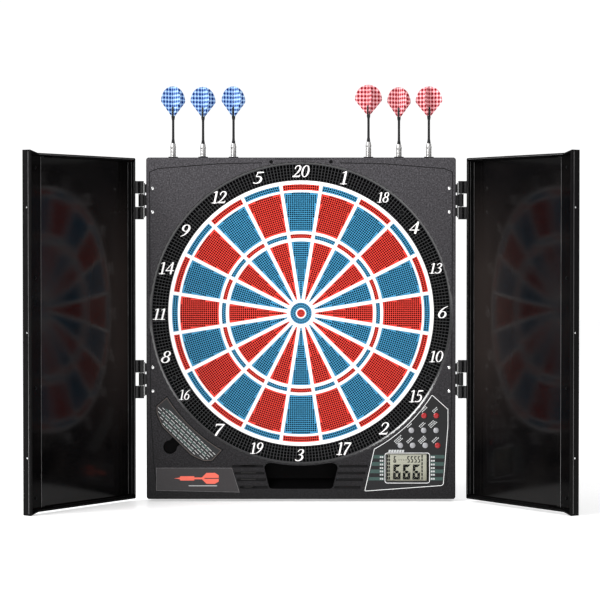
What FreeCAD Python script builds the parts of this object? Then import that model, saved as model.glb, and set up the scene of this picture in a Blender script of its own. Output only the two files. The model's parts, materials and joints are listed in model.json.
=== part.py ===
"""Electronic dartboard in a wall cabinet with two swinging doors and six soft-tip darts.

Frame: millimetres, +X to the right of a person facing the board, +Y into the wall, +Z up.
The origin is on the wall, on the axis of the bull. Every function below makes one sub-part
as a list of solids and stores it in PARTS under the name of its node.
"""
import FreeCAD, Part
import math
import os

Vec = FreeCAD.Vector
PARTS = {}
UP = Vec(0, 0, 1)
INWARD = Vec(0, 1, 0)

# Cabinet outline and depth
HALF_WIDTH = 229.0
TOP = 230.5
BOTTOM = -275.5
DEPTH = 38.0
SEAM_DEPTH = 30.0
WALL = 2.5
CORNER = 4.0
EDGE_ROUND = 1.5
CREST_SCREW = (44.2, 224.0)
FRONT = -DEPTH
SEAM = -SEAM_DEPTH
FACE_BACK = FRONT + WALL
FIT = 0.3

# Target rings, as radii
RING_OUTER = 221.5
RING_BEVEL = 3.3
RING_BEVEL_DEPTH = 2.0
RING_INNER = 196.8
WEB_OUTER = 196.5
DOUBLE = (182.5, 191.1)
OUTER_SINGLE = (121.7, 179.3)
TRIPLE = (111.4, 117.5)
INNER_SINGLE = (21.0, 106.7)
OUTER_BULL = (7.6, 16.0)
INNER_BULL = 6.0
SECTORS = 20
SECTOR_ANGLE = 360.0 / SECTORS
DIVIDER_WIDTH = 4.8
SPOKE_HALF = 1.0
SPOKE_THICK = 0.9

# Depths of the target stack
WEB_FRONT = -36.5
WEB_BACK = -26.5
RING_FRONT = -36.0
RING_BACK = -31.0
SEGMENT_FRONT = -35.5
SEGMENT_BACK = -24.0
SEGMENT_FLANGE = 1.2
SEGMENT_TRAVEL = 1.5
BULL_STEP = 2.0
BULL_FOOT = 0.45
MAT_FRONT = SEGMENT_BACK + SEGMENT_TRAVEL + FIT
MAT_THICK = 2.0
MEMBRANE_THICK = 0.6
BACKING_THICK = 4.0
RING_SCREW_RADIUS = 211.0
RING_SCREW_ANGLES = (45.0, 117.0, 243.0, 315.0)

# Doors, hinges and their fixings
DOOR_WIDTH = 228.4
DOOR_TOP = 229.5
DOOR_BOTTOM = -274.5
DOOR_DEPTH = 16.0
DOOR_RIM = FRONT - 0.5
DOOR_WALL = 2.5
RIM_ROUND = 0.8
DOOR_OPENED = 125.5
MAGNET_RADIUS = 1.3
HINGE_SCREW_BORE = 1.36
FLARE = 4.0
FLARE_START = 213.0
STRIP_START = 194.0
PIN_X = 236.7
PIN_Y = -34.5
PIN_RADIUS = 1.5
KNUCKLE_RADIUS = 4.0
KNUCKLE = 18.5
KNUCKLE_GAP = 0.6
HINGE_HEIGHTS = (167.4, -97.6)
HINGE_SCREW_X = 219.7
HINGE_SCREW_SPREAD = 17.5
LEAF_THICK = 2.0
STRIP_SCREW_HEIGHTS = (209.5, 54.2, -101.1, -256.3)
MAGNET_HEIGHTS = (153.0, -22.5, -198.0)

# Hand pocket and the grooves beside it
POCKET_ARC = 225.6
POCKET_TOP_HALF = 63.0
POCKET_BOTTOM_HALF = 46.7
POCKET_BOTTOM = -260.4
POCKET_BACK = -14.0
POCKET_TOP_ROUND = 8.0
POCKET_WALL = 1.8
GROOVE_HEIGHTS = (-226.3, -236.6, -246.4, -257.7)
GROOVE_HALF = 2.0
GROOVE_DEPTH = 1.9

# Control area
PANEL_ARC = 227.6
PANEL_CORNERS = [
    (186.0, -112.5, 0), (218.6, -141.7, 2), (218.6, -167.3, 4), (211.6, -256.0, 5),
    (93.3, -264.5, 2), (117.7, -157.0, 0),
]
PANEL_THICK = 1.0
PANEL_FRONT = FRONT + 0.2
DISPLAY = (127.4, 185.2, -248.1, -208.9)
WINDOW_MARGIN = (2.0, 4.6, 2.4, 1.4)
BUTTONS = {
    "button_start": (182.2, -151.5), "button_power": (200.3, -151.5),
    "button_bounce": (163.5, -173.4), "button_sound": (181.8, -173.4),
    "button_option": (200.1, -173.4), "button_double": (147.2, -195.7),
    "button_player": (165.4, -195.7), "button_game": (184.0, -195.7),
    "button_hold": (202.4, -195.7),
}
BUTTON_RADIUS = 4.0
BUTTON_TRAVEL = 0.9
BUTTON_CROWN = 1.8
DOME_FRONT = -31.0
BOARD_FRONT = -28.0
BOARD_BACK = -26.4

# Lift-out menu plate, its notch and the name plate
MENU_ARC = 234.0
MENU_CORNERS = [
    (-185.0, -112.0, 0), (-198.0, -123.4, 0), (-214.3, -137.7, 3), (-214.3, -147.5, 10),
    (-206.0, -167.8, 14), (-162.5, -210.7, 14), (-144.0, -219.3, 10), (-131.5, -218.6, 3),
    (-113.5, -199.0, 0), (-113.5, -112.0, 0),
]
MENU_GAP = 1.2
MENU_FLOOR = -36.3
MENU_BACK = -34.8
MENU_THICK = 1.3
NOTCH = (-194.0, -198.2)
NOTCH_RADIUS = 10.2
NOTCH_FLOOR = -34.3
NAME_CORNERS = [
    (-214.6, -229.0, 0.5), (-102.5, -229.0, 0.5), (-91.1, -265.4, 0.5), (-214.5, -262.7, 0.5),
]

# Darts and the tubes that hold them
DART_DEPTH = -21.5
SLEEVE_BOTTOM = 180.5
SLEEVE_INNER = 4.9
SLEEVE_OUTER = 6.4
COLLAR_RADIUS = 7.25
COLLAR_TOP = TOP + 1.6
DART_TIP = 185.0
BARREL = (208.0, 252.0)
SHAFT_TOP = 306.0
FLIGHT = (292.5, 336.5)
FLIGHT_WIDTH = 41.0
BARREL_RADIUS = 4.3
DARTS = {
    "left_1": (-100.2, 0.0, 33.0), "left_2": (-145.4, -0.8, 28.0), "left_3": (-189.8, 0.0, 33.0),
    "right_1": (100.2, 2.4, 10.0), "right_2": (145.4, -1.3, 30.0), "right_3": (189.8, 0.0, 70.0),
}

# Rear fittings
CASE_SCREWS = [(217, 219), (217, -263), (215, 95), (118, -267)]
BATTERY_BAY = (-206.0, -148.0, -263.0, -214.0)
BATTERY_RADIUS = 7.1
BATTERY_LENGTH = 50.5
BATTERY_HEIGHTS = (-254.0, -238.5, -223.0)
BATTERY_Y = -10.2
SPEAKER = (-78.0, -243.0)
SPEAKER_RADIUS = 16.0
JACK = (150.0, -14.0)
KEYHOLE = (167.0, 195.0)
KEYHOLE_RADIUS = 4.5
KEYHOLE_SLOT = (2.3, 10.0)
PADS = [(100.0, -262.0), (60.0, 214.0)]


# ---- shapes in the plane of the board, given as (x, z) and swept from one depth to another

def outline(corners):
    """Closed wire through (x, z, corner radius) points."""
    points = [Vec(x, 0, z) for x, z, _ in corners]
    cuts = []
    for i, (_, _, radius) in enumerate(corners):
        here = points[i]
        if not radius:
            cuts.append((here, None, here))
            continue
        back = (points[i - 1] - here).normalize()
        ahead = (points[(i + 1) % len(points)] - here).normalize()
        half = back.getAngle(ahead) / 2
        reach = radius / math.tan(half)
        middle = here + (back + ahead).normalize() * (radius / math.sin(half) - radius)
        cuts.append((here + back * reach, middle, here + ahead * reach))
    edges = []
    for i, (start, middle, end) in enumerate(cuts):
        if middle:
            edges.append(Part.Arc(start, middle, end).toShape())
        following = cuts[(i + 1) % len(cuts)][0]
        if (following - end).Length > 1e-6:
            edges.append(Part.LineSegment(end, following).toShape())
    return Part.Wire(edges)


def sweep(wire, y0, y1):
    """Solid from a flat wire, between two depths."""
    face = Part.Face(wire)
    face.translate(Vec(0, y0, 0))
    return face.extrude(Vec(0, y1 - y0, 0))


def prism(corners, y0, y1):
    return sweep(outline(corners), y0, y1)


def slab(x0, x1, z0, z1, y0, y1, radius=0.0):
    return prism([(x0, z0, radius), (x1, z0, radius), (x1, z1, radius), (x0, z1, radius)], y0, y1)


def disc(x, z, radius, y0, y1):
    return Part.makeCylinder(radius, y1 - y0, Vec(x, y0, z), INWARD)


def tube(x, z, outer, inner, y0, y1):
    return disc(x, z, outer, y0, y1).cut(disc(x, z, inner, y0, y1))


def strip(points, width, y0, y1):
    """Flat band that follows a run of (x, z) points, round at its bends and ends."""
    pieces = []
    for (x0, z0), (x1, z1) in zip(points, points[1:]):
        length = math.hypot(x1 - x0, z1 - z0)
        side = Vec(z0 - z1, 0, x1 - x0) * (width / 2 / length)
        a, b = Vec(x0, 0, z0), Vec(x1, 0, z1)
        ring = Part.makePolygon([a - side, b - side, b + side, a + side, a - side])
        pieces.append(sweep(ring, y0, y1))
    for x, z in points:
        pieces.append(disc(x, z, width / 2, y0, y1))
    return join(pieces)


def join(shapes):
    """One solid from touching shapes, with no seams left on shared faces."""
    whole = shapes[0].multiFuse(shapes[1:]).removeSplitter() if len(shapes) > 1 else shapes[0]
    return whole.Solids[0] if len(whole.Solids) == 1 else whole


def rod(radius, base, axis, length):
    return Part.makeCylinder(radius, length, base, axis)


def lathe(profile, x, y, z):
    """Solid turned about a vertical axis from (radius, height) points."""
    points = [Vec(radius, 0, height) for radius, height in profile]
    face = Part.Face(Part.makePolygon(points + points[:1]))
    solid = face.revolve(Vec(0, 0, 0), UP, 360)
    solid.translate(Vec(x, y, z))
    return solid


def turned(profile, x, z):
    """Solid turned about an axis along Y from (radius, depth) points."""
    points = [Vec(radius, depth, 0) for radius, depth in profile]
    face = Part.Face(Part.makePolygon(points + points[:1]))
    solid = face.revolve(Vec(0, 0, 0), INWARD, 360)
    solid.translate(Vec(x, 0, z))
    return solid


def mirrored(shape):
    """The shape on the other side of the board, as a fresh solid."""
    return shape.mirror(Vec(0, 0, 0), Vec(1, 0, 0))


def both_sides(shapes):
    return shapes + [mirrored(shape) for shape in shapes]


def clock(radius, degrees):
    """(x, z) at an angle measured clockwise from the top of the board."""
    angle = math.radians(degrees)
    return radius * math.sin(angle), radius * math.cos(angle)


def keep(name, shapes):
    """Add solids to a sub-part."""
    solids = []
    for shape in shapes:
        solids.extend(shape.Solids)
    PARTS.setdefault(name, []).extend(solids)


# ---- the cabinet

def pocket(grow, y0, y1):
    """The hand pocket's outline, whose top follows the number ring."""
    corners = [
        (-POCKET_TOP_HALF - grow, -196.0, 0), (POCKET_TOP_HALF + grow, -196.0, 0),
        (POCKET_BOTTOM_HALF + grow, POCKET_BOTTOM - grow, 6),
        (-POCKET_BOTTOM_HALF - grow, POCKET_BOTTOM - grow, 6),
    ]
    block = prism(corners, y0, y1).cut(disc(0, 0, POCKET_ARC - grow, y0, y1))
    tops = [
        edge for edge in block.Edges
        if edge.BoundBox.YLength > 1 and edge.BoundBox.ZLength < 0.01 and edge.BoundBox.ZMin > -226.0
    ]
    return block.makeFillet(POCKET_TOP_ROUND, tops)


def pocket_tub():
    """Closed recess for the hand, with a floor that slopes up towards the back."""
    tub = pocket(POCKET_WALL, FACE_BACK, POCKET_BACK + POCKET_WALL)
    hollow = pocket(0, FRONT - 1, POCKET_BACK)
    lip, rise = POCKET_BOTTOM + 1.0, POCKET_BOTTOM + 13.5
    slope = Part.makePolygon([
        Vec(-80, FACE_BACK, lip), Vec(-80, POCKET_BACK, rise),
        Vec(-80, POCKET_BACK, POCKET_BOTTOM), Vec(-80, FACE_BACK, POCKET_BOTTOM),
        Vec(-80, FACE_BACK, lip),
    ])
    ramp = Part.Face(slope).extrude(Vec(160, 0, 0))
    return tub, hollow.cut(ramp)


def rounded(shape, radius, depth):
    """The shape with its edges at one depth rounded over."""
    edges = [
        edge for edge in shape.Edges
        if abs(edge.BoundBox.YMin - depth) < 1e-4 and abs(edge.BoundBox.YMax - depth) < 1e-4
    ]
    return shape.makeFillet(radius, edges)


def cabinet_block(inset, y0, y1):
    return slab(
        -HALF_WIDTH + inset, HALF_WIDTH - inset, BOTTOM + inset, TOP - inset, y0, y1,
        max(CORNER - inset, 0.8),
    )


def menu_shape(grow, y0, y1):
    """The menu plate's outline, grown or shrunk all round."""
    wire = outline(MENU_CORNERS)
    if grow:
        wire = wire.makeOffset2D(grow)
    return sweep(wire, y0, y1).cut(disc(0, 0, MENU_ARC - grow, y0 - 1, y1 + 1))


def panel_shape(y0, y1):
    return prism(PANEL_CORNERS, y0, y1).cut(disc(0, 0, PANEL_ARC, y0 - 1, y1 + 1))


def display_opening(grow_left, grow_right, grow_top, y0, y1):
    x0, x1, z0, z1 = DISPLAY
    return slab(x0 - grow_left, x1 + grow_right, z0 - grow_top, z1 + grow_top, y0, y1, 1.0)


def border_line():
    """Shallow groove that frames the face, open where the ring and the plates are."""
    side = [(-58.0, 222.5), (-123.5, 221.0), (-211.5, 214.0), (-224.0, 209.0), (-223.0, -138.0),
            (-218.0, -227.0), (-214.5, -254.0)]
    line = strip(side, 1.2, FRONT - 1, FRONT + 0.8)
    crest = strip([(-39.0, 228.0), (39.0, 228.0)], 1.0, FRONT - 1, FRONT + 0.6)
    return [line, mirrored(line), crest]


def flute(x0, x1, z):
    """One groove: steep above, flat inside, with a slope below."""
    profile = Part.makePolygon([
        Vec(x0, FRONT - 0.5, z + GROOVE_HALF), Vec(x0, FRONT + GROOVE_DEPTH, z + GROOVE_HALF * 0.8),
        Vec(x0, FRONT + GROOVE_DEPTH, z - GROOVE_HALF * 0.5), Vec(x0, FRONT - 0.5, z - GROOVE_HALF * 1.4),
        Vec(x0, FRONT - 0.5, z + GROOVE_HALF),
    ])
    return Part.Face(profile).extrude(Vec(x1 - x0, 0, 0))


def grooves():
    """Long flutes on both sides of the hand pocket."""
    cuts = []
    for height in GROOVE_HEIGHTS:
        far = 102.0 + (height + 226.3) * 0.35
        near = 56.3 + (height + 226.3) * 0.22
        cuts.append(flute(-far, -near, height))
        cuts.append(flute(near, far - 3.0, height))
    return cuts


def sound_slots():
    """Through slots in the left flutes, in front of the speaker."""
    x, _ = SPEAKER
    return [
        slab(x - 11, x + 11, height - 0.8, height + 0.8, FRONT, FACE_BACK + 1)
        for height in GROOVE_HEIGHTS
    ]


def hinge_slots(y0, y1):
    """Room for the hinge leaves to pass through the side wall."""
    return both_sides([
        slab(-HALF_WIDTH - 1, -213.2, height - 25.6, height + 25.6, y0, y1)
        for height in HINGE_HEIGHTS
    ])


def screw_places(places):
    return [(sign * x, z) for x, z in places for sign in (-1, 1)]


def front_frame():
    """Front moulding with the face, its skirt, the ring's collar and bosses, and the cups behind."""
    tub, hollow = pocket_tub()
    skirt = cabinet_block(0, FACE_BACK, SEAM).cut(cabinet_block(WALL, FACE_BACK, SEAM))
    collar = tube(0, 0, RING_OUTER + 2.0, RING_OUTER, FACE_BACK, RING_BACK)
    bosses = [disc(x, z, 3.6, FACE_BACK, SEAM) for x, z in screw_places(CASE_SCREWS)]
    notch_x, notch_z = NOTCH
    channel = strip([NOTCH, (notch_x + 12, notch_z + 12)], 15.0, FRONT - 1, NOTCH_FLOOR)
    cup = strip([NOTCH, (notch_x + 12, notch_z + 12)], 18.0, FACE_BACK, NOTCH_FLOOR + 1.2)
    face = rounded(cabinet_block(0, FRONT, FACE_BACK), EDGE_ROUND, FRONT)
    body = join([
        face, skirt, collar, menu_shape(2.4, FACE_BACK, MENU_BACK), *bosses,
    ])
    bevel = Part.makeCone(
        RING_OUTER + RING_BEVEL, RING_OUTER, RING_BEVEL_DEPTH, Vec(0, FRONT, 0), INWARD,
    )
    cuts = [
        disc(0, 0, RING_OUTER, FRONT - 1, RING_BACK + 1), bevel, hollow,
        menu_shape(MENU_GAP, FRONT - 1, MENU_FLOOR),
        disc(notch_x, notch_z, NOTCH_RADIUS, FRONT - 1, NOTCH_FLOOR), channel,
        panel_shape(FRONT - 1, PANEL_FRONT + PANEL_THICK),
        display_opening(1.0, 3.6, 1.0, FRONT, FACE_BACK + 1),
        prism(NAME_CORNERS, FRONT - 1, FRONT + 0.6),
    ]
    cuts += border_line() + grooves() + sound_slots() + hinge_slots(FACE_BACK, FACE_BACK + 2.0)
    cuts += [disc(x, z, BUTTON_RADIUS + 0.4, FRONT, FACE_BACK + 1) for x, z in BUTTONS.values()]
    cuts += [disc(x, z, 1.55, FACE_BACK, SEAM + 1) for x, z in screw_places(CASE_SCREWS)]
    crest = screw_places([CREST_SCREW])
    cuts += [disc(x, z, 2.75, FRONT - 1, FRONT + 1.4) for x, z in crest]
    cuts += [disc(x, z, 1.5, FRONT, FACE_BACK + 1) for x, z in crest]
    cuts += [disc(x, z, HINGE_SCREW_BORE, FRONT - 1, FACE_BACK + 1) for x, z in hinge_screw_places()]
    frame = body.cut(join_cuts(cuts))
    keep("front_frame", [frame])
    round_cup = disc(notch_x, notch_z, NOTCH_RADIUS + 1.5, FACE_BACK, NOTCH_FLOOR + 1.2)
    cups = [
        tub.cut(join_cuts([hollow, frame])),
        join([round_cup, cup]).cut(join_cuts([
            disc(notch_x, notch_z, NOTCH_RADIUS, FRONT - 1, NOTCH_FLOOR), channel,
            menu_shape(MENU_GAP, FRONT - 1, MENU_FLOOR), frame,
        ])),
    ]
    keep("grip_cups", cups)


def join_cuts(cuts):
    return cuts[0].multiFuse(cuts[1:])


def hinge_screw_places():
    return [
        (sign * HINGE_SCREW_X, height + offset)
        for sign in (-1, 1) for height in HINGE_HEIGHTS
        for offset in (-HINGE_SCREW_SPREAD, HINGE_SCREW_SPREAD)
    ]


def rear_housing():
    """Side walls, back plate with the battery bay, and the posts and ribs inside."""
    walls = cabinet_block(0, SEAM, -WALL).cut(cabinet_block(WALL, SEAM - 1, 0))
    plate = rounded(cabinet_block(0, -WALL, 0), EDGE_ROUND, 0)
    x0, x1, z0, z1 = BATTERY_BAY
    bay = slab(x0 - 1.5, x1 + 1.5, z0 - 1.5, z1 + 1.5, BATTERY_Y - 9.3, -WALL)
    posts = [disc(x, z, 5.0, SEAM, -WALL) for x, z in screw_places(CASE_SCREWS)]
    posts += [
        disc(*clock(RING_SCREW_RADIUS, angle), 3.6, WEB_BACK - 1.0, -WALL)
        for angle in RING_SCREW_ANGLES
    ]
    posts += [disc(x, z, 3.6, FACE_BACK, -WALL) for x, z in screw_places([CREST_SCREW])]
    posts += [disc(x, z, 3.4, FACE_BACK + 2.0, -WALL) for x, z in hinge_screw_places()]
    backing_back = MAT_FRONT + MAT_THICK + MEMBRANE_THICK + BACKING_THICK
    for radius, count in ((60.0, 6), (150.0, 12)):
        for k in range(count):
            x, z = clock(radius, 360.0 / count * k)
            posts.append(disc(x, z, 4.0, backing_back, -WALL))
    ribs = [
        slab(-130, 130, z - 0.8, z + 0.8, -9.0, -WALL) for z in (-75.0, 0.0, 75.0)
    ] + [
        slab(x - 0.8, x + 0.8, -130, 130, -9.0, -WALL) for x in (-75.0, 0.0, 75.0)
    ]
    cuts = [slab(x0, x1, z0, z1, BATTERY_Y - 7.8, 1), slab(x0 - 1, x1 + 1, z0 - 1, z1 + 1, -1.6, 1)]
    for x, z in screw_places(CASE_SCREWS):
        cuts += [disc(x, z, 4.0, -22.0, 1), disc(x, z, 1.7, SEAM - 1, 0)]
    for angle in RING_SCREW_ANGLES:
        cuts.append(disc(*clock(RING_SCREW_RADIUS, angle), 1.5, WEB_BACK - 2.0, -18.0))
    cuts += [disc(x, z, 1.5, FACE_BACK - 1, -24.0) for x, z in screw_places([CREST_SCREW])]
    cuts += [disc(x, z, HINGE_SCREW_BORE, FACE_BACK, -24.0) for x, z in hinge_screw_places()]
    for x, _, _ in DARTS.values():
        cuts.append(rod(SLEEVE_OUTER + 0.1, Vec(x, DART_DEPTH, TOP - 5), UP, 10))
    for sign in (-1, 1):
        x, z = KEYHOLE
        cuts.append(disc(sign * x, z, KEYHOLE_RADIUS, -5, 1))
        half, run = KEYHOLE_SLOT
        cuts.append(strip([(sign * x, z), (sign * x, z + run)], 2 * half, -5, 1))
    cuts.append(rod(4.2, Vec(JACK[0], JACK[1], BOTTOM - 1), UP, 5))
    cuts += [disc(x, z, 8.0, -1.0, 1) for x, z in screw_places(PADS)]
    cuts = join_cuts(cuts)
    shell = [walls.cut(cuts), join([plate, bay]).cut(cuts)]
    keep("rear_housing", shell)
    keep("inner_posts", [join([*posts, *ribs]).cut(cuts.multiFuse(shell))])


def case_fasteners():
    """Dark screws from the rear, in the ring and at the crest, and the bright hinge screws."""
    case = [
        turned([(0, -34.6), (1.5, -34.6), (1.5, -22.0), (3.2, -22.0), (3.2, -20.0), (0, -20.0)], x, z)
        for x, z in screw_places(CASE_SCREWS)
    ]
    ring = [
        turned(
            [(0, RING_FRONT + 0.6), (2.6, RING_FRONT + 0.6), (2.6, -33.6), (1.5, -33.6),
             (1.5, -19.0), (0, -19.0)],
            *clock(RING_SCREW_RADIUS, angle),
        )
        for angle in RING_SCREW_ANGLES
    ]
    ring += [
        turned([(0, -37.4), (2.6, -37.4), (2.6, FRONT + 1.4), (1.5, FRONT + 1.4), (1.5, -25.0),
                (0, -25.0)], x, z)
        for x, z in screw_places([CREST_SCREW])
    ]
    keep("dark_screws", case + ring)
    hinge = [
        turned([(0, -39.3), (1.4, -39.1), (2.3, -38.5), (2.3, FRONT), (1.3, FRONT), (1.3, -25.0),
                (0, -25.0)], x, z)
        for x, z in hinge_screw_places()
    ]
    keep("hinge_screws", hinge)


# ---- the target

def annulus(inner, outer, y0, y1):
    return tube(0, 0, outer, inner, y0, y1)


def number_ring():
    """Perforated ring that carries the score numbers, held by four sunk screws."""
    ring = annulus(RING_INNER, RING_OUTER - 0.2, RING_FRONT, RING_BACK)
    cuts = []
    for angle in RING_SCREW_ANGLES:
        x, z = clock(RING_SCREW_RADIUS, angle)
        cuts += [disc(x, z, 3.0, RING_FRONT - 1, -33.6), disc(x, z, 1.7, -34, RING_BACK + 1)]
    keep("number_ring", [ring.cut(join_cuts(cuts))])


def spider_web():
    """White web of rings and dividers, with a rear flange and four screw ears."""
    rings = [
        annulus(DOUBLE[1], WEB_OUTER, WEB_FRONT, WEB_BACK),
        annulus(OUTER_SINGLE[1], DOUBLE[0], WEB_FRONT, WEB_BACK),
        annulus(TRIPLE[1], OUTER_SINGLE[0], WEB_FRONT, WEB_BACK),
        annulus(INNER_SINGLE[1], TRIPLE[0], WEB_FRONT, WEB_BACK),
        annulus(OUTER_BULL[1], INNER_SINGLE[0], WEB_FRONT, WEB_BACK),
    ]
    dividers = []
    for k in range(SECTORS):
        bar = slab(
            -DIVIDER_WIDTH / 2, DIVIDER_WIDTH / 2, INNER_SINGLE[0] - 2, WEB_OUTER - 2,
            WEB_FRONT, WEB_BACK,
        )
        bar.rotate(Vec(0, 0, 0), INWARD, SECTOR_ANGLE * (k + 0.5))
        dividers.append(bar)
    ears = []
    for angle in RING_SCREW_ANGLES:
        x, z = clock(RING_SCREW_RADIUS, angle)
        near = clock(WEB_OUTER + 2, angle)
        ears.append(strip([near, (x, z)], 11.0, RING_BACK + 0.1, WEB_BACK - 1.0))
    flange = annulus(WEB_OUTER - 1, WEB_OUTER + 6, RING_BACK + 0.1, WEB_BACK - 1.0)
    web = join(rings + dividers + [flange] + ears)
    holes = [
        disc(*clock(RING_SCREW_RADIUS, angle), 1.7, RING_BACK, WEB_BACK) for angle in RING_SCREW_ANGLES
    ]
    bull_divider = annulus(INNER_BULL, OUTER_BULL[0], WEB_FRONT, WEB_BACK)
    spokes = both_sides([slab(
        INNER_BULL + 0.5, OUTER_BULL[1] + 1, -SPOKE_HALF, SPOKE_HALF, WEB_BACK - SPOKE_THICK, WEB_BACK,
    )])
    web = join([web.cut(join_cuts(holes)), bull_divider, *spokes])
    keep("spider_web", [web])


def wedge(inner, outer, offset, y0, y1, angle):
    """Segment between two radii whose sides run parallel to the dividers beside it."""
    half = SECTOR_ANGLE / 2
    turn_in = half - math.degrees(math.asin(offset / inner))
    turn_out = half - math.degrees(math.asin(offset / outer))

    def spot(radius, turn):
        x, z = clock(radius, angle + turn)
        return Vec(x, 0, z)

    edges = [
        Part.Arc(spot(outer, -turn_out), spot(outer, 0), spot(outer, turn_out)).toShape(),
        Part.LineSegment(spot(outer, turn_out), spot(inner, turn_in)).toShape(),
        Part.Arc(spot(inner, turn_in), spot(inner, 0), spot(inner, -turn_in)).toShape(),
        Part.LineSegment(spot(inner, -turn_in), spot(outer, -turn_out)).toShape(),
    ]
    return sweep(Part.Wire(edges), y0, y1)


def segments(name, radii):
    """Ring of twenty score segments, each with a rear flange that the web holds back."""
    inner, outer = radii
    side = DIVIDER_WIDTH / 2 + FIT
    flange_front = WEB_BACK + FIT
    solids = []
    for k in range(SECTORS):
        angle = SECTOR_ANGLE * k
        block = wedge(inner + FIT, outer - FIT, side, SEGMENT_FRONT, SEGMENT_BACK, angle)
        flange = wedge(
            inner + FIT - SEGMENT_FLANGE, outer - FIT + SEGMENT_FLANGE, side - SEGMENT_FLANGE,
            flange_front, SEGMENT_BACK, angle,
        )
        solids.append(join([block, flange]))
    keep(name, solids)


def bulls():
    """Outer and inner bull, round segments with their own rear flanges."""
    inner, outer = OUTER_BULL
    flange_front = WEB_BACK + FIT
    relief_front = WEB_BACK - SPOKE_THICK - SEGMENT_TRAVEL - FIT
    ring = annulus(inner + FIT, outer - FIT, SEGMENT_FRONT, relief_front)
    rear = annulus(inner + BULL_STEP, outer - FIT, relief_front, SEGMENT_BACK)
    rim = annulus(
        inner + BULL_STEP, outer + SEGMENT_FLANGE - FIT, flange_front, SEGMENT_BACK,
    )
    relief = slab(
        -outer - 3, outer + 3, -SPOKE_HALF - 0.6, SPOKE_HALF + 0.6,
        relief_front, WEB_BACK + FIT,
    )
    keep("outer_bull", [join([ring, rear, rim]).cut(relief)])
    cap = disc(0, 0, INNER_BULL - FIT, SEGMENT_FRONT, SEGMENT_BACK)
    foot = disc(0, 0, INNER_BULL + BULL_FOOT, flange_front, SEGMENT_BACK)
    keep("inner_bull", [join([cap, foot])])


def contact_stack():
    """Return mat, printed contact membrane and the board that backs them."""
    membrane = MAT_FRONT + MAT_THICK
    backing = membrane + MEMBRANE_THICK
    keep("silicone_mats", [disc(0, 0, 192.0, MAT_FRONT, membrane)])
    keep("contact_membrane", [disc(0, 0, 192.0, membrane, backing)])
    board = disc(0, 0, 194.0, backing, backing + BACKING_THICK)
    keep("backing_board", [board])


# ---- control side

def control_panel():
    """Printed panel in the lower right corner, with round button holes and a window."""
    plate = panel_shape(PANEL_FRONT, PANEL_FRONT + PANEL_THICK)
    holes = [
        disc(x, z, BUTTON_RADIUS + 0.4, FRONT, PANEL_FRONT + 2) for x, z in BUTTONS.values()
    ]
    holes.append(display_opening(1.0, 3.6, 1.0, FRONT, PANEL_FRONT + 2))
    keep("control_panel_plate", [plate.cut(join_cuts(holes))])
    keep("display_window", [display_opening(1.0, 3.6, 1.0, -37.5, -36.3)])
    x0, x1, z0, z1 = DISPLAY
    glass = slab(x0 + 0.2, x1 + 3.0, z0 + 0.2, z1 - 0.2, -36.0, -33.5)
    holder = slab(x0 - 2.0, x1 + 4.0, z0 - 2.0, z1 + 2.0, -34.5, -29.4)
    keep("display_module", [join([glass, holder])])


def buttons():
    """Nine domed push buttons, each with a collar that stops it leaving the panel."""
    crown, side = FRONT - BUTTON_CROWN, FRONT - 0.6
    collar = FACE_BACK + FIT
    for name, (x, z) in BUTTONS.items():
        rise = Part.Arc(
            Vec(0, crown, 0), Vec(BUTTON_RADIUS * 0.62, crown + 0.35, 0), Vec(BUTTON_RADIUS, side, 0),
        )
        corners = [
            Vec(BUTTON_RADIUS, side, 0), Vec(BUTTON_RADIUS, collar, 0), Vec(5.2, collar, 0),
            Vec(5.2, collar + 1.4, 0), Vec(2.0, collar + 1.4, 0),
            Vec(2.0, DOME_FRONT - BUTTON_TRAVEL - FIT, 0), Vec(0, DOME_FRONT - BUTTON_TRAVEL - FIT, 0),
            Vec(0, crown, 0),
        ]
        edges = [rise.toShape()]
        edges += [Part.LineSegment(a, b).toShape() for a, b in zip(corners, corners[1:])]
        solid = Part.Face(Part.Wire(edges)).revolve(Vec(0, 0, 0), INWARD, 360)
        solid.translate(Vec(x, 0, z))
        keep(name, [solid])


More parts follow.
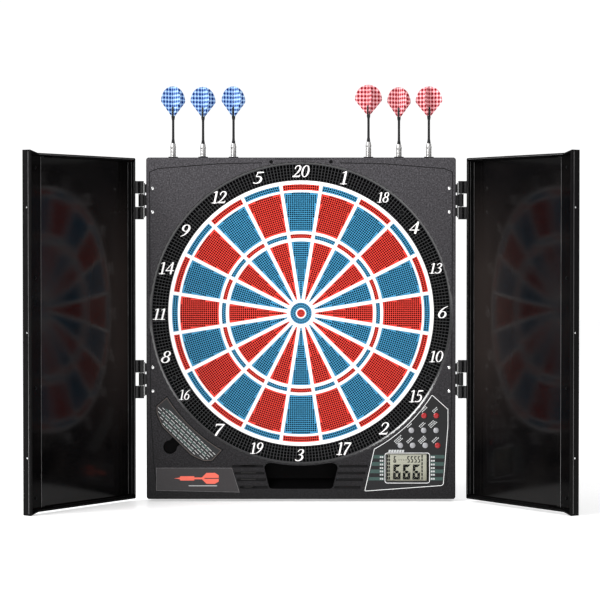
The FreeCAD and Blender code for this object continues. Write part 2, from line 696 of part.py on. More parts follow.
def electronics():
    """Dome mat, circuit board, speaker, power jack, wiring, batteries and their contacts."""
    field = [(136.0, -186.0, 2), (177.0, -141.0, 2), (210.0, -141.0, 2), (210.0, -203.0, 2),
             (136.0, -203.0, 2)]
    keep("silicone_mats", [prism(field, DOME_FRONT, BOARD_FRONT)])
    circuit = [(124.0, -184.0, 2), (176.0, -133.0, 2), (212.0, -133.0, 2), (212.0, -242.0, 2),
               (204.0, -252.0, 2), (124.0, -252.0, 2)]
    plate = prism(circuit, BOARD_FRONT, BOARD_BACK)
    clearances = [
        disc(x, z, 5.0, BOARD_FRONT - 1, BOARD_BACK + 1) for x, z in hinge_screw_places() if x > 0
    ]
    keep("control_board", [plate.cut(join_cuts(clearances))])
    x, z = SPEAKER
    keep("speaker", [turned(
        [(0, FACE_BACK), (SPEAKER_RADIUS, FACE_BACK), (SPEAKER_RADIUS, -33.0), (11.0, -29.5),
         (11.0, -26.4), (0, -26.4)], x, z,
    )])
    jack_x, jack_y = JACK
    jack = Part.makeBox(12, 12, 14, Vec(jack_x - 6, jack_y - 6, BOTTOM + WALL))
    bore = rod(3.0, Vec(jack_x, jack_y, BOTTOM + WALL - 1), UP, 11)
    pin = rod(1.0, Vec(jack_x, jack_y, BOTTOM + WALL), UP, 12)
    keep("power_jack", [join([jack.cut(bore), pin])])
    bay_x0, bay_x1, _, _ = BATTERY_BAY
    middle = (bay_x0 + bay_x1) / 2
    keep("batteries", [
        join([
            rod(BATTERY_RADIUS, Vec(middle - BATTERY_LENGTH / 2, BATTERY_Y, z), Vec(1, 0, 0),
                BATTERY_LENGTH - 1.5),
            rod(2.7, Vec(middle + BATTERY_LENGTH / 2 - 1.5, BATTERY_Y, z), Vec(1, 0, 0), 1.5),
        ]) for z in BATTERY_HEIGHTS
    ])
    contacts = []
    for z in BATTERY_HEIGHTS:
        spring = Part.makeCone(
            4.5, 2.2, 3.0, Vec(bay_x0 + 0.3, BATTERY_Y, z), Vec(1, 0, 0),
        )
        contacts += [
            join([Part.makeBox(0.3, 9, 11, Vec(bay_x0, BATTERY_Y - 4.5, z - 5.5)), spring]),
            Part.makeBox(0.3, 9, 11, Vec(bay_x1 - 0.3, BATTERY_Y - 4.5, z - 5.5)),
        ]
    keep("battery_contacts", contacts)
    edge = clock(188.0, 135.0)
    bend = clock(222.0, 135.0)
    back = MAT_FRONT + MAT_THICK
    ribbon = join([
        strip([edge, bend], 16.0, back + MEMBRANE_THICK - 0.3, back + MEMBRANE_THICK).cut(
            disc(0, 0, 192.0, back - 1, back + 1)),
        strip([clock(221.0, 135.0), bend], 16.0, BOARD_BACK, back + MEMBRANE_THICK).common(
            annulus(229.0, 229.6, BOARD_BACK, back + MEMBRANE_THICK)),
    ])
    leads = [
        strip([(-62.5, -248), (-58, -267.8), (95, -267.8), (127, -250)], 2.6, BOARD_BACK, -25.1),
        strip([(-145.4, -240), (-100, -263), (-62, -270.6), (98, -270.6), (133, -250)], 2.0,
              BOARD_BACK, -25.1),
        strip([(jack_x, -266.5), (jack_x, -247.5)], 2.6, jack_y - 7.3, jack_y - 6),
        disc(jack_x, -247.5, 1.3, BOARD_BACK, jack_y - 7.3),
    ]
    keep("internal_wiring", ribbon.Solids + leads)


def plates_and_pads():
    """Name plate, lift-out menu plate, wall pads and the battery cover."""
    keep("name_plate", [prism(NAME_CORNERS, FRONT - 0.3, FRONT + 0.6)])
    keep("menu_plate", [menu_shape(0, MENU_FLOOR - FIT - MENU_THICK, MENU_FLOOR - FIT)])
    keep("wall_pads", [disc(x, z, 8.0, -1.0, 0) for x, z in screw_places(PADS)])
    x0, x1, z0, z1 = BATTERY_BAY
    cover = slab(x0 - 0.7, x1 + 0.7, z0 - 0.7, z1 + 0.7, -1.3, 0)
    finger = slab(-183, -171, z0 + 2, z0 + 8, -0.7, 1)
    keep("battery_door", [cover.cut(finger)])


# ---- darts

def dart_sleeves():
    """Closed tubes under the top wall, each with a collar that shows above it."""
    sleeves = []
    for x, _, _ in DARTS.values():
        wall = rod(SLEEVE_OUTER, Vec(x, DART_DEPTH, SLEEVE_BOTTOM), UP, TOP - SLEEVE_BOTTOM)
        collar = rod(COLLAR_RADIUS, Vec(x, DART_DEPTH, TOP), UP, COLLAR_TOP - TOP)
        hollow = rod(SLEEVE_INNER, Vec(x, DART_DEPTH, SLEEVE_BOTTOM + 1.5), UP, 80)
        sleeves.append(join([wall, collar]).cut(hollow))
    keep("dart_sleeves", sleeves)


def flight_wing(angle):
    """Half of one crossed flight sheet: straight taper below, round above."""
    bottom, top = FLIGHT
    half = FLIGHT_WIDTH / 2
    middle = top - half * 0.95
    edges = [
        Part.LineSegment(Vec(0, 0, bottom), Vec(3.0, 0, bottom)).toShape(),
        Part.LineSegment(Vec(3.0, 0, bottom), Vec(half, 0, middle - 4)).toShape(),
        Part.Arc(Vec(half, 0, middle - 4), Vec(half * 0.80, 0, top - 4.6), Vec(0, 0, top)).toShape(),
        Part.LineSegment(Vec(0, 0, top), Vec(0, 0, bottom)).toShape(),
    ]
    sheet = Part.Face(Part.Wire(edges)).extrude(Vec(0, 0.6, 0))
    sheet.translate(Vec(0, -0.3, 0))
    sheet.rotate(Vec(0, 0, 0), UP, angle)
    return sheet


def darts():
    """Six darts: soft tip, barrel, shaft and a crossed flight, each turned its own way."""
    low, high = BARREL
    foot = FLIGHT[0]
    for name, (x, lift, spin) in DARTS.items():
        tip = lathe(
            [(0, DART_TIP), (0.7, DART_TIP + 1), (2.6, low - 4), (2.6, low), (0, low)],
            x, DART_DEPTH, lift,
        )
        barrel = lathe(
            [(0, low), (BARREL_RADIUS - 0.8, low), (BARREL_RADIUS, low + 2),
             (BARREL_RADIUS, high - 3), (BARREL_RADIUS - 0.9, high), (0, high)],
            x, DART_DEPTH, lift,
        )
        stem = lathe(
            [(0, high), (2.6, high), (1.8, high + 7), (1.8, foot - 4), (2.6, foot - 1),
             (2.6, SHAFT_TOP), (0, SHAFT_TOP)],
            x, DART_DEPTH, lift,
        )
        wings = join([flight_wing(90.0 * k + spin) for k in range(4)])
        wings.translate(Vec(x, DART_DEPTH, lift))
        keep("dart_" + name, [tip, barrel, stem, wings.cut(stem)])


# ---- doors and hinges, drawn closed on the left and then swung open

def opened(shapes):
    """Swing shapes of the closed left door to the open position the board is shown in."""
    for shape in shapes:
        shape.rotate(Vec(-PIN_X, PIN_Y, 0), UP, -DOOR_OPENED)
    return shapes


def door_pair(name, shapes):
    """Store a left door's shapes and their mirror image on the right."""
    left = opened(shapes)
    keep("left_door_" + name, left)
    keep("right_door_" + name, [mirrored(shape) for shape in left])


def door_outline(inset):
    """Door in elevation, a little taller along its free edge where it is gripped."""
    x0 = -HALF_WIDTH + inset
    x1 = -HALF_WIDTH + DOOR_WIDTH - inset
    knee = -HALF_WIDTH + FLARE_START
    low, high = DOOR_BOTTOM + inset, DOOR_TOP - inset
    corner = 2.0 if inset == 0 else 0.0
    return [(x0, low, corner), (knee, low, 0), (x1, low - FLARE, 0), (x1, high + FLARE, 0),
            (knee, high, 0), (x0, high, corner)]


def doors():
    """Tray-shaped doors with a gloss inner panel, a grip strip, screws and magnets."""
    outside = DOOR_RIM - DOOR_DEPTH
    tray = rounded(prism(door_outline(0), outside, DOOR_RIM), EDGE_ROUND, outside)
    tray = rounded(tray, RIM_ROUND, DOOR_RIM)
    floor = outside + DOOR_WALL
    hollow = prism(door_outline(DOOR_WALL), floor, DOOR_RIM + 1)
    free_x = -HALF_WIDTH + DOOR_WIDTH
    sockets = [
        rod(MAGNET_RADIUS, Vec(free_x - 1.6, -46.0, height), Vec(1, 0, 0), 5)
        for height in MAGNET_HEIGHTS
    ]
    left_x, right_x = -HALF_WIDTH + DOOR_WALL, free_x - DOOR_WALL
    lip_end = -HALF_WIDTH + 176.0
    lips = [
        Part.makeBox(lip_end - left_x, 1.5, 2.2, Vec(left_x, DOOR_RIM - 7.5, z))
        for z in (DOOR_TOP - DOOR_WALL - 2.2, DOOR_BOTTOM + DOOR_WALL)
    ]
    shell = join([tray.cut(hollow), *lips]).cut(join_cuts(sockets))
    door_pair("shell", [shell])
    low, high = DOOR_BOTTOM + DOOR_WALL, DOOR_TOP - DOOR_WALL
    strip_x = -HALF_WIDTH + STRIP_START
    panel = slab(left_x, strip_x, low, high, floor, floor + 1.0)
    door_pair("panel", [panel])
    grip = slab(strip_x, right_x, low, high, floor, floor + 1.8)
    holes = [disc(-HALF_WIDTH + 206.0, z, 1.4, floor - 1, floor + 3) for z in STRIP_SCREW_HEIGHTS]
    door_pair("grip", [grip.cut(join_cuts(holes))])
    screws = [
        turned([(0, floor), (1.4, floor), (1.4, floor + 1.8), (2.4, floor + 1.8), (2.0, floor + 2.8),
                (0, floor + 3.1)], -HALF_WIDTH + 206.0, z)
        for z in STRIP_SCREW_HEIGHTS
    ]
    door_pair("screws", screws)
    magnets = [
        rod(MAGNET_RADIUS, Vec(free_x - 1.6, -46.0, height), Vec(1, 0, 0), 1.5)
        for height in MAGNET_HEIGHTS
    ]
    door_pair("magnets", magnets)


def knuckle(low, high, bore):
    """Hinge knuckle about the left pin between two heights."""
    base = Vec(-PIN_X, PIN_Y, low)
    return rod(KNUCKLE_RADIUS, base, UP, high - low), rod(bore, base - UP, UP, high - low + 2)


def hinges():
    """Hinges of three knuckles: the outer two swing with the door, the middle one stays."""
    reach = KNUCKLE / 2
    leaves, lugs, pins = [], [], []
    for height in HINGE_HEIGHTS:
        barrel, bore = knuckle(height - reach, height + reach, PIN_RADIUS)
        x0, x1 = -HALF_WIDTH - 3.2, -213.5
        plate = Part.makeBox(x1 - x0, LEAF_THICK, 51.0, Vec(x0, FACE_BACK, height - 25.5))
        arm = Part.makeBox(PIN_X + x0, LEAF_THICK, KNUCKLE - 2, Vec(-PIN_X, FACE_BACK, height - reach + 1))
        notches = []
        for edge in (-25.5, -reach, reach, 25.5):
            corner = Vec(x0 + 1.2, FACE_BACK - 1, height + edge - 1.8)
            notches.append(Part.makeBox(2.0, LEAF_THICK + 2, 3.6, corner))
        holes = [
            disc(-HINGE_SCREW_X, height + offset, HINGE_SCREW_BORE, FACE_BACK - 1, FACE_BACK + 4)
            for offset in (-HINGE_SCREW_SPREAD, HINGE_SCREW_SPREAD)
        ]
        leaves.append(join([barrel, arm, plate]).cut(join_cuts([bore] + notches + holes)))
        for sign in (-1, 1):
            near = height + sign * (reach + KNUCKLE_GAP)
            far = near + sign * KNUCKLE
            barrel, bore = knuckle(min(near, far), max(near, far), PIN_RADIUS + 0.06)
            profile = [(-2.6, -3.0), (0.0, -1.0), (3.2, -2.4), (7.7, -4.3), (7.7, -10.5), (3.2, -8.0)]
            ring = [Vec(-PIN_X + dx, PIN_Y + dy, min(near, far)) for dx, dy in profile]
            lug = Part.Face(Part.makePolygon(ring + ring[:1])).extrude(Vec(0, 0, KNUCKLE))
            lugs.append(join([barrel, lug]).cut(bore))
        full = 3 * KNUCKLE + 2 * KNUCKLE_GAP
        pins.append(rod(PIN_RADIUS, Vec(-PIN_X, PIN_Y, height - full / 2), UP, full))
    keep("body_hinge_leaves", both_sides(leaves))
    keep("hinge_pins", both_sides(pins))
    door_pair("hinges", lugs)


def write_parts():
    os.makedirs("parts", exist_ok=True)
    for name, solids in PARTS.items():
        Part.makeCompound(solids).exportStep(f"parts/{name}.step")
    print(len(PARTS), "sub-parts,", sum(len(solids) for solids in PARTS.values()), "solids")


def main():
    front_frame()
    rear_housing()
    case_fasteners()
    number_ring()
    spider_web()
    segments("double_segments", DOUBLE)
    segments("outer_single_segments", OUTER_SINGLE)
    segments("triple_segments", TRIPLE)
    segments("inner_single_segments", INNER_SINGLE)
    bulls()
    contact_stack()
    control_panel()
    buttons()
    electronics()
    plates_and_pads()
    dart_sleeves()
    darts()
    doors()
    hinges()
    write_parts()


main()
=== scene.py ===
import json
import math
import random

import bpy
import numpy as np
from mathutils import Vector, geometry
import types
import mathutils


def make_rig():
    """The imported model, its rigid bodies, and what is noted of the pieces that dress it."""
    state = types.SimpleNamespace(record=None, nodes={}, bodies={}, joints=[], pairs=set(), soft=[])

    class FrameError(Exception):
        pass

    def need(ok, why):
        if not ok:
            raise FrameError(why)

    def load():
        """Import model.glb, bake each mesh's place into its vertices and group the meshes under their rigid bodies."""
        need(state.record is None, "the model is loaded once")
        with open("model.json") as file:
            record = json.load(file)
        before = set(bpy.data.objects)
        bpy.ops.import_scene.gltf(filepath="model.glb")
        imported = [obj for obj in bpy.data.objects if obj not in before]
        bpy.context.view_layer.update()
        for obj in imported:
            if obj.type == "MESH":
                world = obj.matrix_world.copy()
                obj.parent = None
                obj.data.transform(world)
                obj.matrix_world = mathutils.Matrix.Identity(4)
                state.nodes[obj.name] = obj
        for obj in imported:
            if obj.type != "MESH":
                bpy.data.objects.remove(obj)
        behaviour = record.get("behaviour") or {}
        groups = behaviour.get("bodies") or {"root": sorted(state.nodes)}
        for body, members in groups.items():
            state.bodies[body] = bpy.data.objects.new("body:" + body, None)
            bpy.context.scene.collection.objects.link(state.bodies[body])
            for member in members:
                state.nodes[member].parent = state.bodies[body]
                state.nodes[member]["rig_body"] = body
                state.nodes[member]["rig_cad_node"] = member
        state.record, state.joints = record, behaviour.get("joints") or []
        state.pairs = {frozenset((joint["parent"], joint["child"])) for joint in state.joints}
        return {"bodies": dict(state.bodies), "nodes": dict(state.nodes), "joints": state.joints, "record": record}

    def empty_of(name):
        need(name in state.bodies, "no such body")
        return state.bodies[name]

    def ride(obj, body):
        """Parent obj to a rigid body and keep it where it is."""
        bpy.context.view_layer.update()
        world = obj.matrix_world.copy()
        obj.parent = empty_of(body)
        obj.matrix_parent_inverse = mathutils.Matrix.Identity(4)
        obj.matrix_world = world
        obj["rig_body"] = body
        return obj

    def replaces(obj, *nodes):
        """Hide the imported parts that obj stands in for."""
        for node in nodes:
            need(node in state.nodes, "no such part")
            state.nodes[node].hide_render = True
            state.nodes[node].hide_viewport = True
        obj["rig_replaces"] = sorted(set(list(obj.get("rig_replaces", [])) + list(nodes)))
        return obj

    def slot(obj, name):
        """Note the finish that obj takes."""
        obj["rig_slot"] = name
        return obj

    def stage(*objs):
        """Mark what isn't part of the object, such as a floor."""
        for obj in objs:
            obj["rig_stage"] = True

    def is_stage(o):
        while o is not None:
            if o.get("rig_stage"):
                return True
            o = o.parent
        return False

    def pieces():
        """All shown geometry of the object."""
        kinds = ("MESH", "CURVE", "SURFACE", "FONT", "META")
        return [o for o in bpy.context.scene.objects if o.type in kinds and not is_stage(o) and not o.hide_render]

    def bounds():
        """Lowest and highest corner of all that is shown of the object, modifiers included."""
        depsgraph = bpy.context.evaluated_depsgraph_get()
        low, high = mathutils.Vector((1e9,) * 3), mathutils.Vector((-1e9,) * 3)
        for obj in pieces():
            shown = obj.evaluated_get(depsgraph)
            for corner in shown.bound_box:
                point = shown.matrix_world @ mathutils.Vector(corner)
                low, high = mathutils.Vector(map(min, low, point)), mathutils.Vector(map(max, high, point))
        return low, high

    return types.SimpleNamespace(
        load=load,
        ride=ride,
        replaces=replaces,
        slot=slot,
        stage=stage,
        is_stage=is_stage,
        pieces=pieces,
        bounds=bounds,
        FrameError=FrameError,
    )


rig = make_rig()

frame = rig.load()
CAD_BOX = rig.bounds()
MM = 0.001
random.seed(7)
SIDES = (("left", -1), ("right", 1))

# Sizes of the board that the detailed pieces repeat, in millimetres
SECTORS = 20
SECTOR = 2 * math.pi / SECTORS
GAP = 0.3
SIDE_OFFSET = 2.7
SEGMENT_FRONT = -35.5
SEGMENT_BACK = -24.0
FLANGE = 1.2
FLANGE_FRONT = -26.2
DOUBLE = (182.5, 191.1)
OUTER_SINGLE = (121.7, 179.3)
TRIPLE = (111.4, 117.5)
INNER_SINGLE = (21.0, 106.7)
OUTER_BULL = (7.6, 16.0)
INNER_BULL = 6.0


# ---- nodes and materials

# Sockets of the colour mix node: its factor, its two colours and its result
MIX_FACTOR, MIX_A, MIX_B, MIX_RESULT = 0, 6, 7, 2
# Most of a noise pattern lies between these values
NOISE_LOW, NOISE_HIGH = 0.3, 0.7


class Graph:
    """A material whose shader nodes are added and linked in short calls."""

    def __init__(self, name):
        self.material = bpy.data.materials.new(name)
        self.material.use_nodes = True
        self.nodes = self.material.node_tree.nodes
        self.links = self.material.node_tree.links
        self.shader = self.nodes["Principled BSDF"]

    def add(self, kind, **values):
        node = self.nodes.new(kind)
        for key, value in values.items():
            setattr(node, key, value)
        return node

    def link(self, output, target):
        self.links.new(output, target)

    def coordinates(self):
        return self.add("ShaderNodeTexCoord").outputs["Object"]

    def axes(self, vector=None):
        """The x, y and z of a vector, or of the place on the object in metres."""
        split = self.add("ShaderNodeSeparateXYZ")
        self.link(vector or self.coordinates(), split.inputs[0])
        return split.outputs

    def noise(self, scale, detail=3.0, rough=0.5, vector=None, distortion=0.0):
        node = self.add("ShaderNodeTexNoise")
        node.inputs["Scale"].default_value = scale
        node.inputs["Detail"].default_value = detail
        node.inputs["Roughness"].default_value = rough
        node.inputs["Distortion"].default_value = distortion
        self.link(vector or self.coordinates(), node.inputs["Vector"])
        return node.outputs[0]

    def math(self, operation, a, b=0.0, c=0.0):
        node = self.add("ShaderNodeMath", operation=operation)
        for slot, value in zip(node.inputs, (a, b, c)):
            if isinstance(value, (int, float)):
                slot.default_value = value
            else:
                self.link(value, slot)
        return node.outputs[0]

    def spread(self, value, low, high, new_low, new_high):
        node = self.add("ShaderNodeMapRange")
        self.link(value, node.inputs["Value"])
        for name, number in zip(("From Min", "From Max", "To Min", "To Max"), (low, high, new_low, new_high)):
            node.inputs[name].default_value = number
        return node.outputs[0]

    def ramp(self, value, *stops):
        node = self.add("ShaderNodeValToRGB")
        self.link(value, node.inputs[0])
        elements = node.color_ramp.elements
        while len(elements) < len(stops):
            elements.new(0.5)
        for element, (place, colour) in zip(elements, stops):
            element.position = place
            element.color = (*colour, 1.0)
        return node.outputs[0]

    def mix(self, factor, a, b, blend="MIX"):
        node = self.add("ShaderNodeMix", data_type="RGBA", blend_type=blend)
        for index, value in ((MIX_FACTOR, factor), (MIX_A, a), (MIX_B, b)):
            slot = node.inputs[index]
            if isinstance(value, (int, float)):
                slot.default_value = value
            elif isinstance(value, tuple):
                slot.default_value = (*value, 1.0)
            else:
                self.link(value, slot)
        return node.outputs[MIX_RESULT]

    def colour(self, output):
        self.link(output, self.shader.inputs["Base Color"])

    def gloss(self, pattern, first, last, start=NOISE_LOW, end=NOISE_HIGH):
        """Roughness from first to last as the pattern rises from start to end."""
        self.link(self.spread(pattern, start, end, first, last), self.shader.inputs["Roughness"])

    def bump(self, height, strength, distance):
        node = self.add("ShaderNodeBump")
        node.inputs["Strength"].default_value = strength
        node.inputs["Distance"].default_value = distance
        self.link(height, node.inputs["Height"])
        self.link(node.outputs[0], self.shader.inputs["Normal"])

    def set(self, **values):
        names = {
            "metal": "Metallic", "ior": "IOR", "coat": "Coat Weight", "coat_rough": "Coat Roughness",
            "alpha": "Alpha", "specular": "Specular IOR Level", "rough": "Roughness",
        }
        for key, value in values.items():
            self.shader.inputs[names[key]].default_value = value
        return self


def shade(colour, factor):
    return tuple(min(1.0, c * factor) for c in colour)


# How dark the painted shade inside a hole is beside its plastic, and how far roughness strays from its mean
HOLE_SHADE_TONE = 0.10
ROUGH_SPREAD = 0.05


def moulded(name, colour, rough, mottle, mottle_size, grain, grain_size, deep=None, **values):
    """Injection-moulded plastic: soft mottling in colour and gloss, and a fine grain in the surface.
    With deep it darkens between two depths: painted shade in narrow holes that no light reaches."""
    graph = Graph(name)
    patches = graph.noise(1 / (mottle_size * MM), 3.0, 0.6)
    pale, dark = shade(colour, 1 + mottle), shade(colour, 1 - mottle)
    tone = graph.ramp(patches, (NOISE_LOW, dark), (NOISE_HIGH, pale))
    # Painted shade: the colour darkens with depth inside narrow holes
    if deep:
        painted_hole_shade = graph.spread(graph.axes()[1], deep[0] * MM, deep[1] * MM, 0.0, 1.0)
        tone = graph.mix(painted_hole_shade, tone, shade(colour, HOLE_SHADE_TONE))
    graph.colour(tone)
    graph.gloss(patches, rough - ROUGH_SPREAD, rough + ROUGH_SPREAD)
    graph.bump(graph.noise(1 / (grain_size * MM), 2.0, 0.5), grain, 0.05 * MM)
    graph.set(**values)
    return graph.material


# Tones of the charcoal face, the heights over which painted shade darkens it towards its foot, and the depths where
# painted shade turns its recesses black
CHARCOAL = ((0.015, 0.0142, 0.0155), (0.042, 0.0395, 0.0435), (0.105, 0.100, 0.110))
FALLOFF_HEIGHTS = (-0.275, 0.230)
RECESS_DEPTHS = (-37.95 * MM, -37.1 * MM)


def charcoal(name, level=1.0):
    """Charcoal face with a leathery moulded grain over cloudy patches, with painted shade that
    turns its recesses black and darkens it towards its foot."""
    graph = Graph(name)
    _, depth, height = graph.axes()
    clouds = graph.noise(450.0, 4.0, 0.7)
    grain = graph.noise(1500.0, 3.0, 0.6)
    both = graph.math("MULTIPLY_ADD", grain, 0.40, graph.math("MULTIPLY", clouds, 0.60))
    low, middle, high = (shade(tone, level) for tone in CHARCOAL)
    tone = graph.ramp(both, (0.38, low), (0.50, middle), (0.64, high))
    # Painted shade: the face darkens towards its foot
    lit = graph.spread(height, *FALLOFF_HEIGHTS, 0.0, 1.0)
    painted_falloff = graph.ramp(lit, (0.0, (0.20,) * 3), (0.30, (0.48,) * 3), (1.0, (1.0,) * 3))
    tone = graph.mix(1.0, tone, painted_falloff, "MULTIPLY")
    # Painted shade: recesses go black with depth
    deep = graph.spread(depth, *RECESS_DEPTHS, 0.0, 1.0)
    graph.colour(graph.mix(deep, tone, shade(CHARCOAL[0], 0.4 * level)))
    graph.set(specular=0.15 * level)
    graph.gloss(both, 0.62, 0.46, 0.35, 0.65)
    graph.bump(both, 0.55, 0.16 * MM)
    return graph.material


# Where the right door turns, in x and y, and how far an opened door stands from the board's plane
HINGE_LINE = (0.2367, -0.0345)
DOOR_ANGLE = math.radians(54.5)
# A panel is bowed: at u from the pin its surface stands at u * (BOW * u + LEAN), in metres
BOW, LEAN = 0.1513, 0.0319
# The painted reflection of a room, a warm patch near the hinges, fades out over these distances from the pin, and from
# mid-height
ROOM_REFLECTION_ACROSS = (0.04, 0.13)
ROOM_REFLECTION_UP = (0.06, 0.20)


def gloss_panel(name, side, sheen=0.10):
    """High-gloss inner face of a door, side -1 left or 1 right. It is slightly bowed, so its
    reflection spreads. Faint wipe marks and dust lie on it, and a warm patch near the hinges is a
    painted reflection of a room."""
    graph = Graph(name)
    x, y, z = graph.axes()
    wipes = graph.noise(14.0, 4.0, 0.55, distortion=1.2)
    dust = graph.noise(900.0, 2.0, 0.5)
    tone = graph.ramp(wipes, (0.35, (0.0016, 0.0015, 0.0016)), (0.75, (0.0036, 0.0032, 0.0031)))
    specks = graph.spread(dust, 0.72, 0.78, 0.0, 1.0)
    graph.gloss(wipes, 0.075, 0.115)
    c, s = side * math.cos(DOOR_ANGLE), -math.sin(DOOR_ANGLE)
    across = graph.math("MULTIPLY_ADD", x, c, -c * side * HINGE_LINE[0] - s * HINGE_LINE[1])
    across = graph.math("MULTIPLY_ADD", y, s, across)
    # Painted reflection of a room: a warm patch near the hinges
    near = graph.spread(across, *ROOM_REFLECTION_ACROSS, 1.0, 0.0)
    level = graph.spread(graph.math("ABSOLUTE", z), *ROOM_REFLECTION_UP, 1.0, 0.0)
    tone = graph.mix(graph.math("MULTIPLY", near, level), tone, (0.0150, 0.0118, 0.0108))
    graph.colour(graph.mix(specks, tone, (0.02, 0.019, 0.018)))
    bend = graph.math("MULTIPLY_ADD", across, BOW, LEAN)
    graph.bump(graph.math("MULTIPLY", bend, across), 1.0, 1.0)
    graph.set(specular=sheen)
    return graph.material


def metal(name, colour, rough):
    """Bare metal with fine scratches and slight tarnish."""
    graph = Graph(name)
    tarnish = graph.noise(600.0, 3.0, 0.6)
    graph.colour(graph.ramp(tarnish, (NOISE_LOW, shade(colour, 0.82)), (NOISE_HIGH, colour)))
    graph.gloss(tarnish, rough, rough + 0.12)
    graph.bump(graph.noise(4000.0, 2.0, 0.6), 0.10, 0.02 * MM)
    graph.set(metal=1.0)
    return graph.material


def clear_window(name):
    """Thin clear cover of the display with a faint grey tint."""
    graph = Graph(name)
    haze = graph.noise(160.0, 2.0, 0.5)
    tint, thick_tint = (0.030, 0.031, 0.028), (0.045, 0.046, 0.042)
    graph.colour(graph.ramp(haze, (NOISE_LOW, tint), (NOISE_HIGH, thick_tint)))
    graph.gloss(haze, 0.06, 0.12)
    graph.set(alpha=0.05)
    return graph.material


GLASS_HEIGHTS = (-0.249, -0.208)


def display_glass(name):
    """Grey-green liquid-crystal glass, a little lighter towards its top."""
    graph = Graph(name)
    height = graph.spread(graph.axes()[2], *GLASS_HEIGHTS, 0.0, 1.0)
    cells = graph.noise(2600.0, 1.0, 0.5)
    level = graph.math("MULTIPLY_ADD", cells, 0.10, height)
    foot, middle, top = (0.27, 0.265, 0.20), (0.36, 0.36, 0.285), (0.42, 0.42, 0.34)
    graph.colour(graph.ramp(level, (0.0, foot), (0.55, middle), (1.0, top)))
    graph.gloss(cells, 0.30, 0.42)
    return graph.material


def circuit(name):
    """Green solder mask with paler tracks."""
    graph = Graph(name)
    tracks = graph.add("ShaderNodeTexBrick")
    settings = {
        "Scale": 160.0, "Mortar Size": 0.06, "Color1": (0.012, 0.075, 0.030, 1),
        "Color2": (0.018, 0.095, 0.038, 1), "Mortar": (0.06, 0.20, 0.07, 1),
    }
    for key, value in settings.items():
        tracks.inputs[key].default_value = value
    graph.link(graph.coordinates(), tracks.inputs["Vector"])
    graph.colour(tracks.outputs[0])
    graph.gloss(graph.noise(500.0), 0.32, 0.45)
    return graph.material


def fibreboard(name):
    """Pressed fibreboard: long pale fibres on brown."""
    graph = Graph(name)
    fibres = graph.noise(700.0, 6.0, 0.75, distortion=2.0)
    graph.colour(graph.ramp(fibres, (NOISE_LOW, (0.16, 0.085, 0.04)), (NOISE_HIGH, (0.36, 0.23, 0.13))))
    graph.gloss(fibres, 0.9, 0.7)
    graph.bump(fibres, 0.4, 0.1 * MM)
    return graph.material


def gingham(name, dark, middle, pale):
    """Printed flight foil: two crossing sets of stripes, dark where they cross."""
    graph = Graph(name)
    place = graph.add("ShaderNodeAttribute", attribute_name="foil").outputs["Vector"]
    stripes = []
    for output in graph.axes(place)[:2]:
        wave = graph.math("SINE", graph.math("MULTIPLY", output, 2 * math.pi))
        stripes.append(graph.spread(wave, -0.45, 0.0, 0.0, 1.0))
    single = graph.math("MAXIMUM", stripes[0], stripes[1])
    double = graph.math("MULTIPLY", stripes[0], stripes[1])
    ink = graph.noise(3000.0, 2.0, 0.5)
    ground = graph.mix(graph.spread(ink, NOISE_LOW, NOISE_HIGH, 0.0, 0.10), pale, (1.0, 1.0, 1.0))
    once = graph.mix(graph.math("MULTIPLY", single, 0.70), ground, middle)
    graph.colour(graph.mix(double, once, dark))
    graph.gloss(ink, 0.35, 0.45)
    graph.set(specular=0.12)
    return graph.material


# Depths between which painted shade darkens the holes of the number ring and of the segments
RING_DARK = (-35.99, -35.55)
HOLE_DARK = (-35.46, -34.7)

# Plastics: name, colour, roughness, strength and size of the mottling, strength and size of the grain
FACE = charcoal("charcoal_grain")
# A darker copy of the face for the recessed grip cups: painted shade
SHADED_FACE = charcoal("charcoal_recess", 0.25)
RIM = moulded("rim_edge_plastic", (0.008, 0.008, 0.0085), 0.18, 0.12, 3.0, 0.12, 0.4, specular=0.8)
REAR = moulded("rear_shell_plastic", (0.013, 0.013, 0.014), 0.55, 0.25, 2.5, 0.5, 0.5, specular=0.3)
BLACK = moulded("black_satin_plastic", (0.007, 0.007, 0.0075), 0.38, 0.25, 4.0, 0.35, 0.4, specular=0.22)
RING = moulded("ring_plastic_black", (0.030, 0.030, 0.032), 0.42, 0.20, 4.0, 0.2, 0.4, RING_DARK,
               specular=0.25)
WHITE = moulded("web_plastic_white", (0.86, 0.835, 0.835), 0.38, 0.02, 9.0, 0.18, 0.6)
BLUE = moulded("segment_plastic_blue", (0.031, 0.240, 0.430), 0.42, 0.06, 7.0, 0.15, 0.5, HOLE_DARK)
RED = moulded("segment_plastic_red", (0.670, 0.028, 0.014), 0.42, 0.06, 7.0, 0.15, 0.5, HOLE_DARK)
PANEL = moulded("printed_panel_foil", (0.009, 0.009, 0.0098), 0.40, 0.12, 1.2, 0.35, 0.30, specular=0.28)
MENU = moulded("menu_plate_foil", (0.016, 0.017, 0.018), 0.42, 0.15, 1.6, 0.3, 0.30, specular=0.28)
NAME = moulded("name_plate_plastic", (0.030, 0.0275, 0.029), 0.42, 0.16, 1.4, 0.4, 0.30, specular=0.3)
WINDOW = clear_window("clear_cover")
GLASS = display_glass("liquid_crystal_glass")
BOARD = circuit("solder_mask")
RUBBER = moulded("dark_rubber", (0.015, 0.015, 0.015), 0.8, 0.2, 2.0, 0.5, 0.6)
CONE = moulded("speaker_paper", (0.03, 0.029, 0.028), 0.85, 0.3, 1.0, 0.6, 0.4)
FILM = moulded("contact_film", (0.42, 0.44, 0.40), 0.30, 0.08, 12.0, 0.1, 0.6)
WOOD = fibreboard("backing_fibreboard")
WIRE = moulded("wire_cover_plastic", (0.05, 0.05, 0.055), 0.45, 0.25, 2.0, 0.2, 0.5)
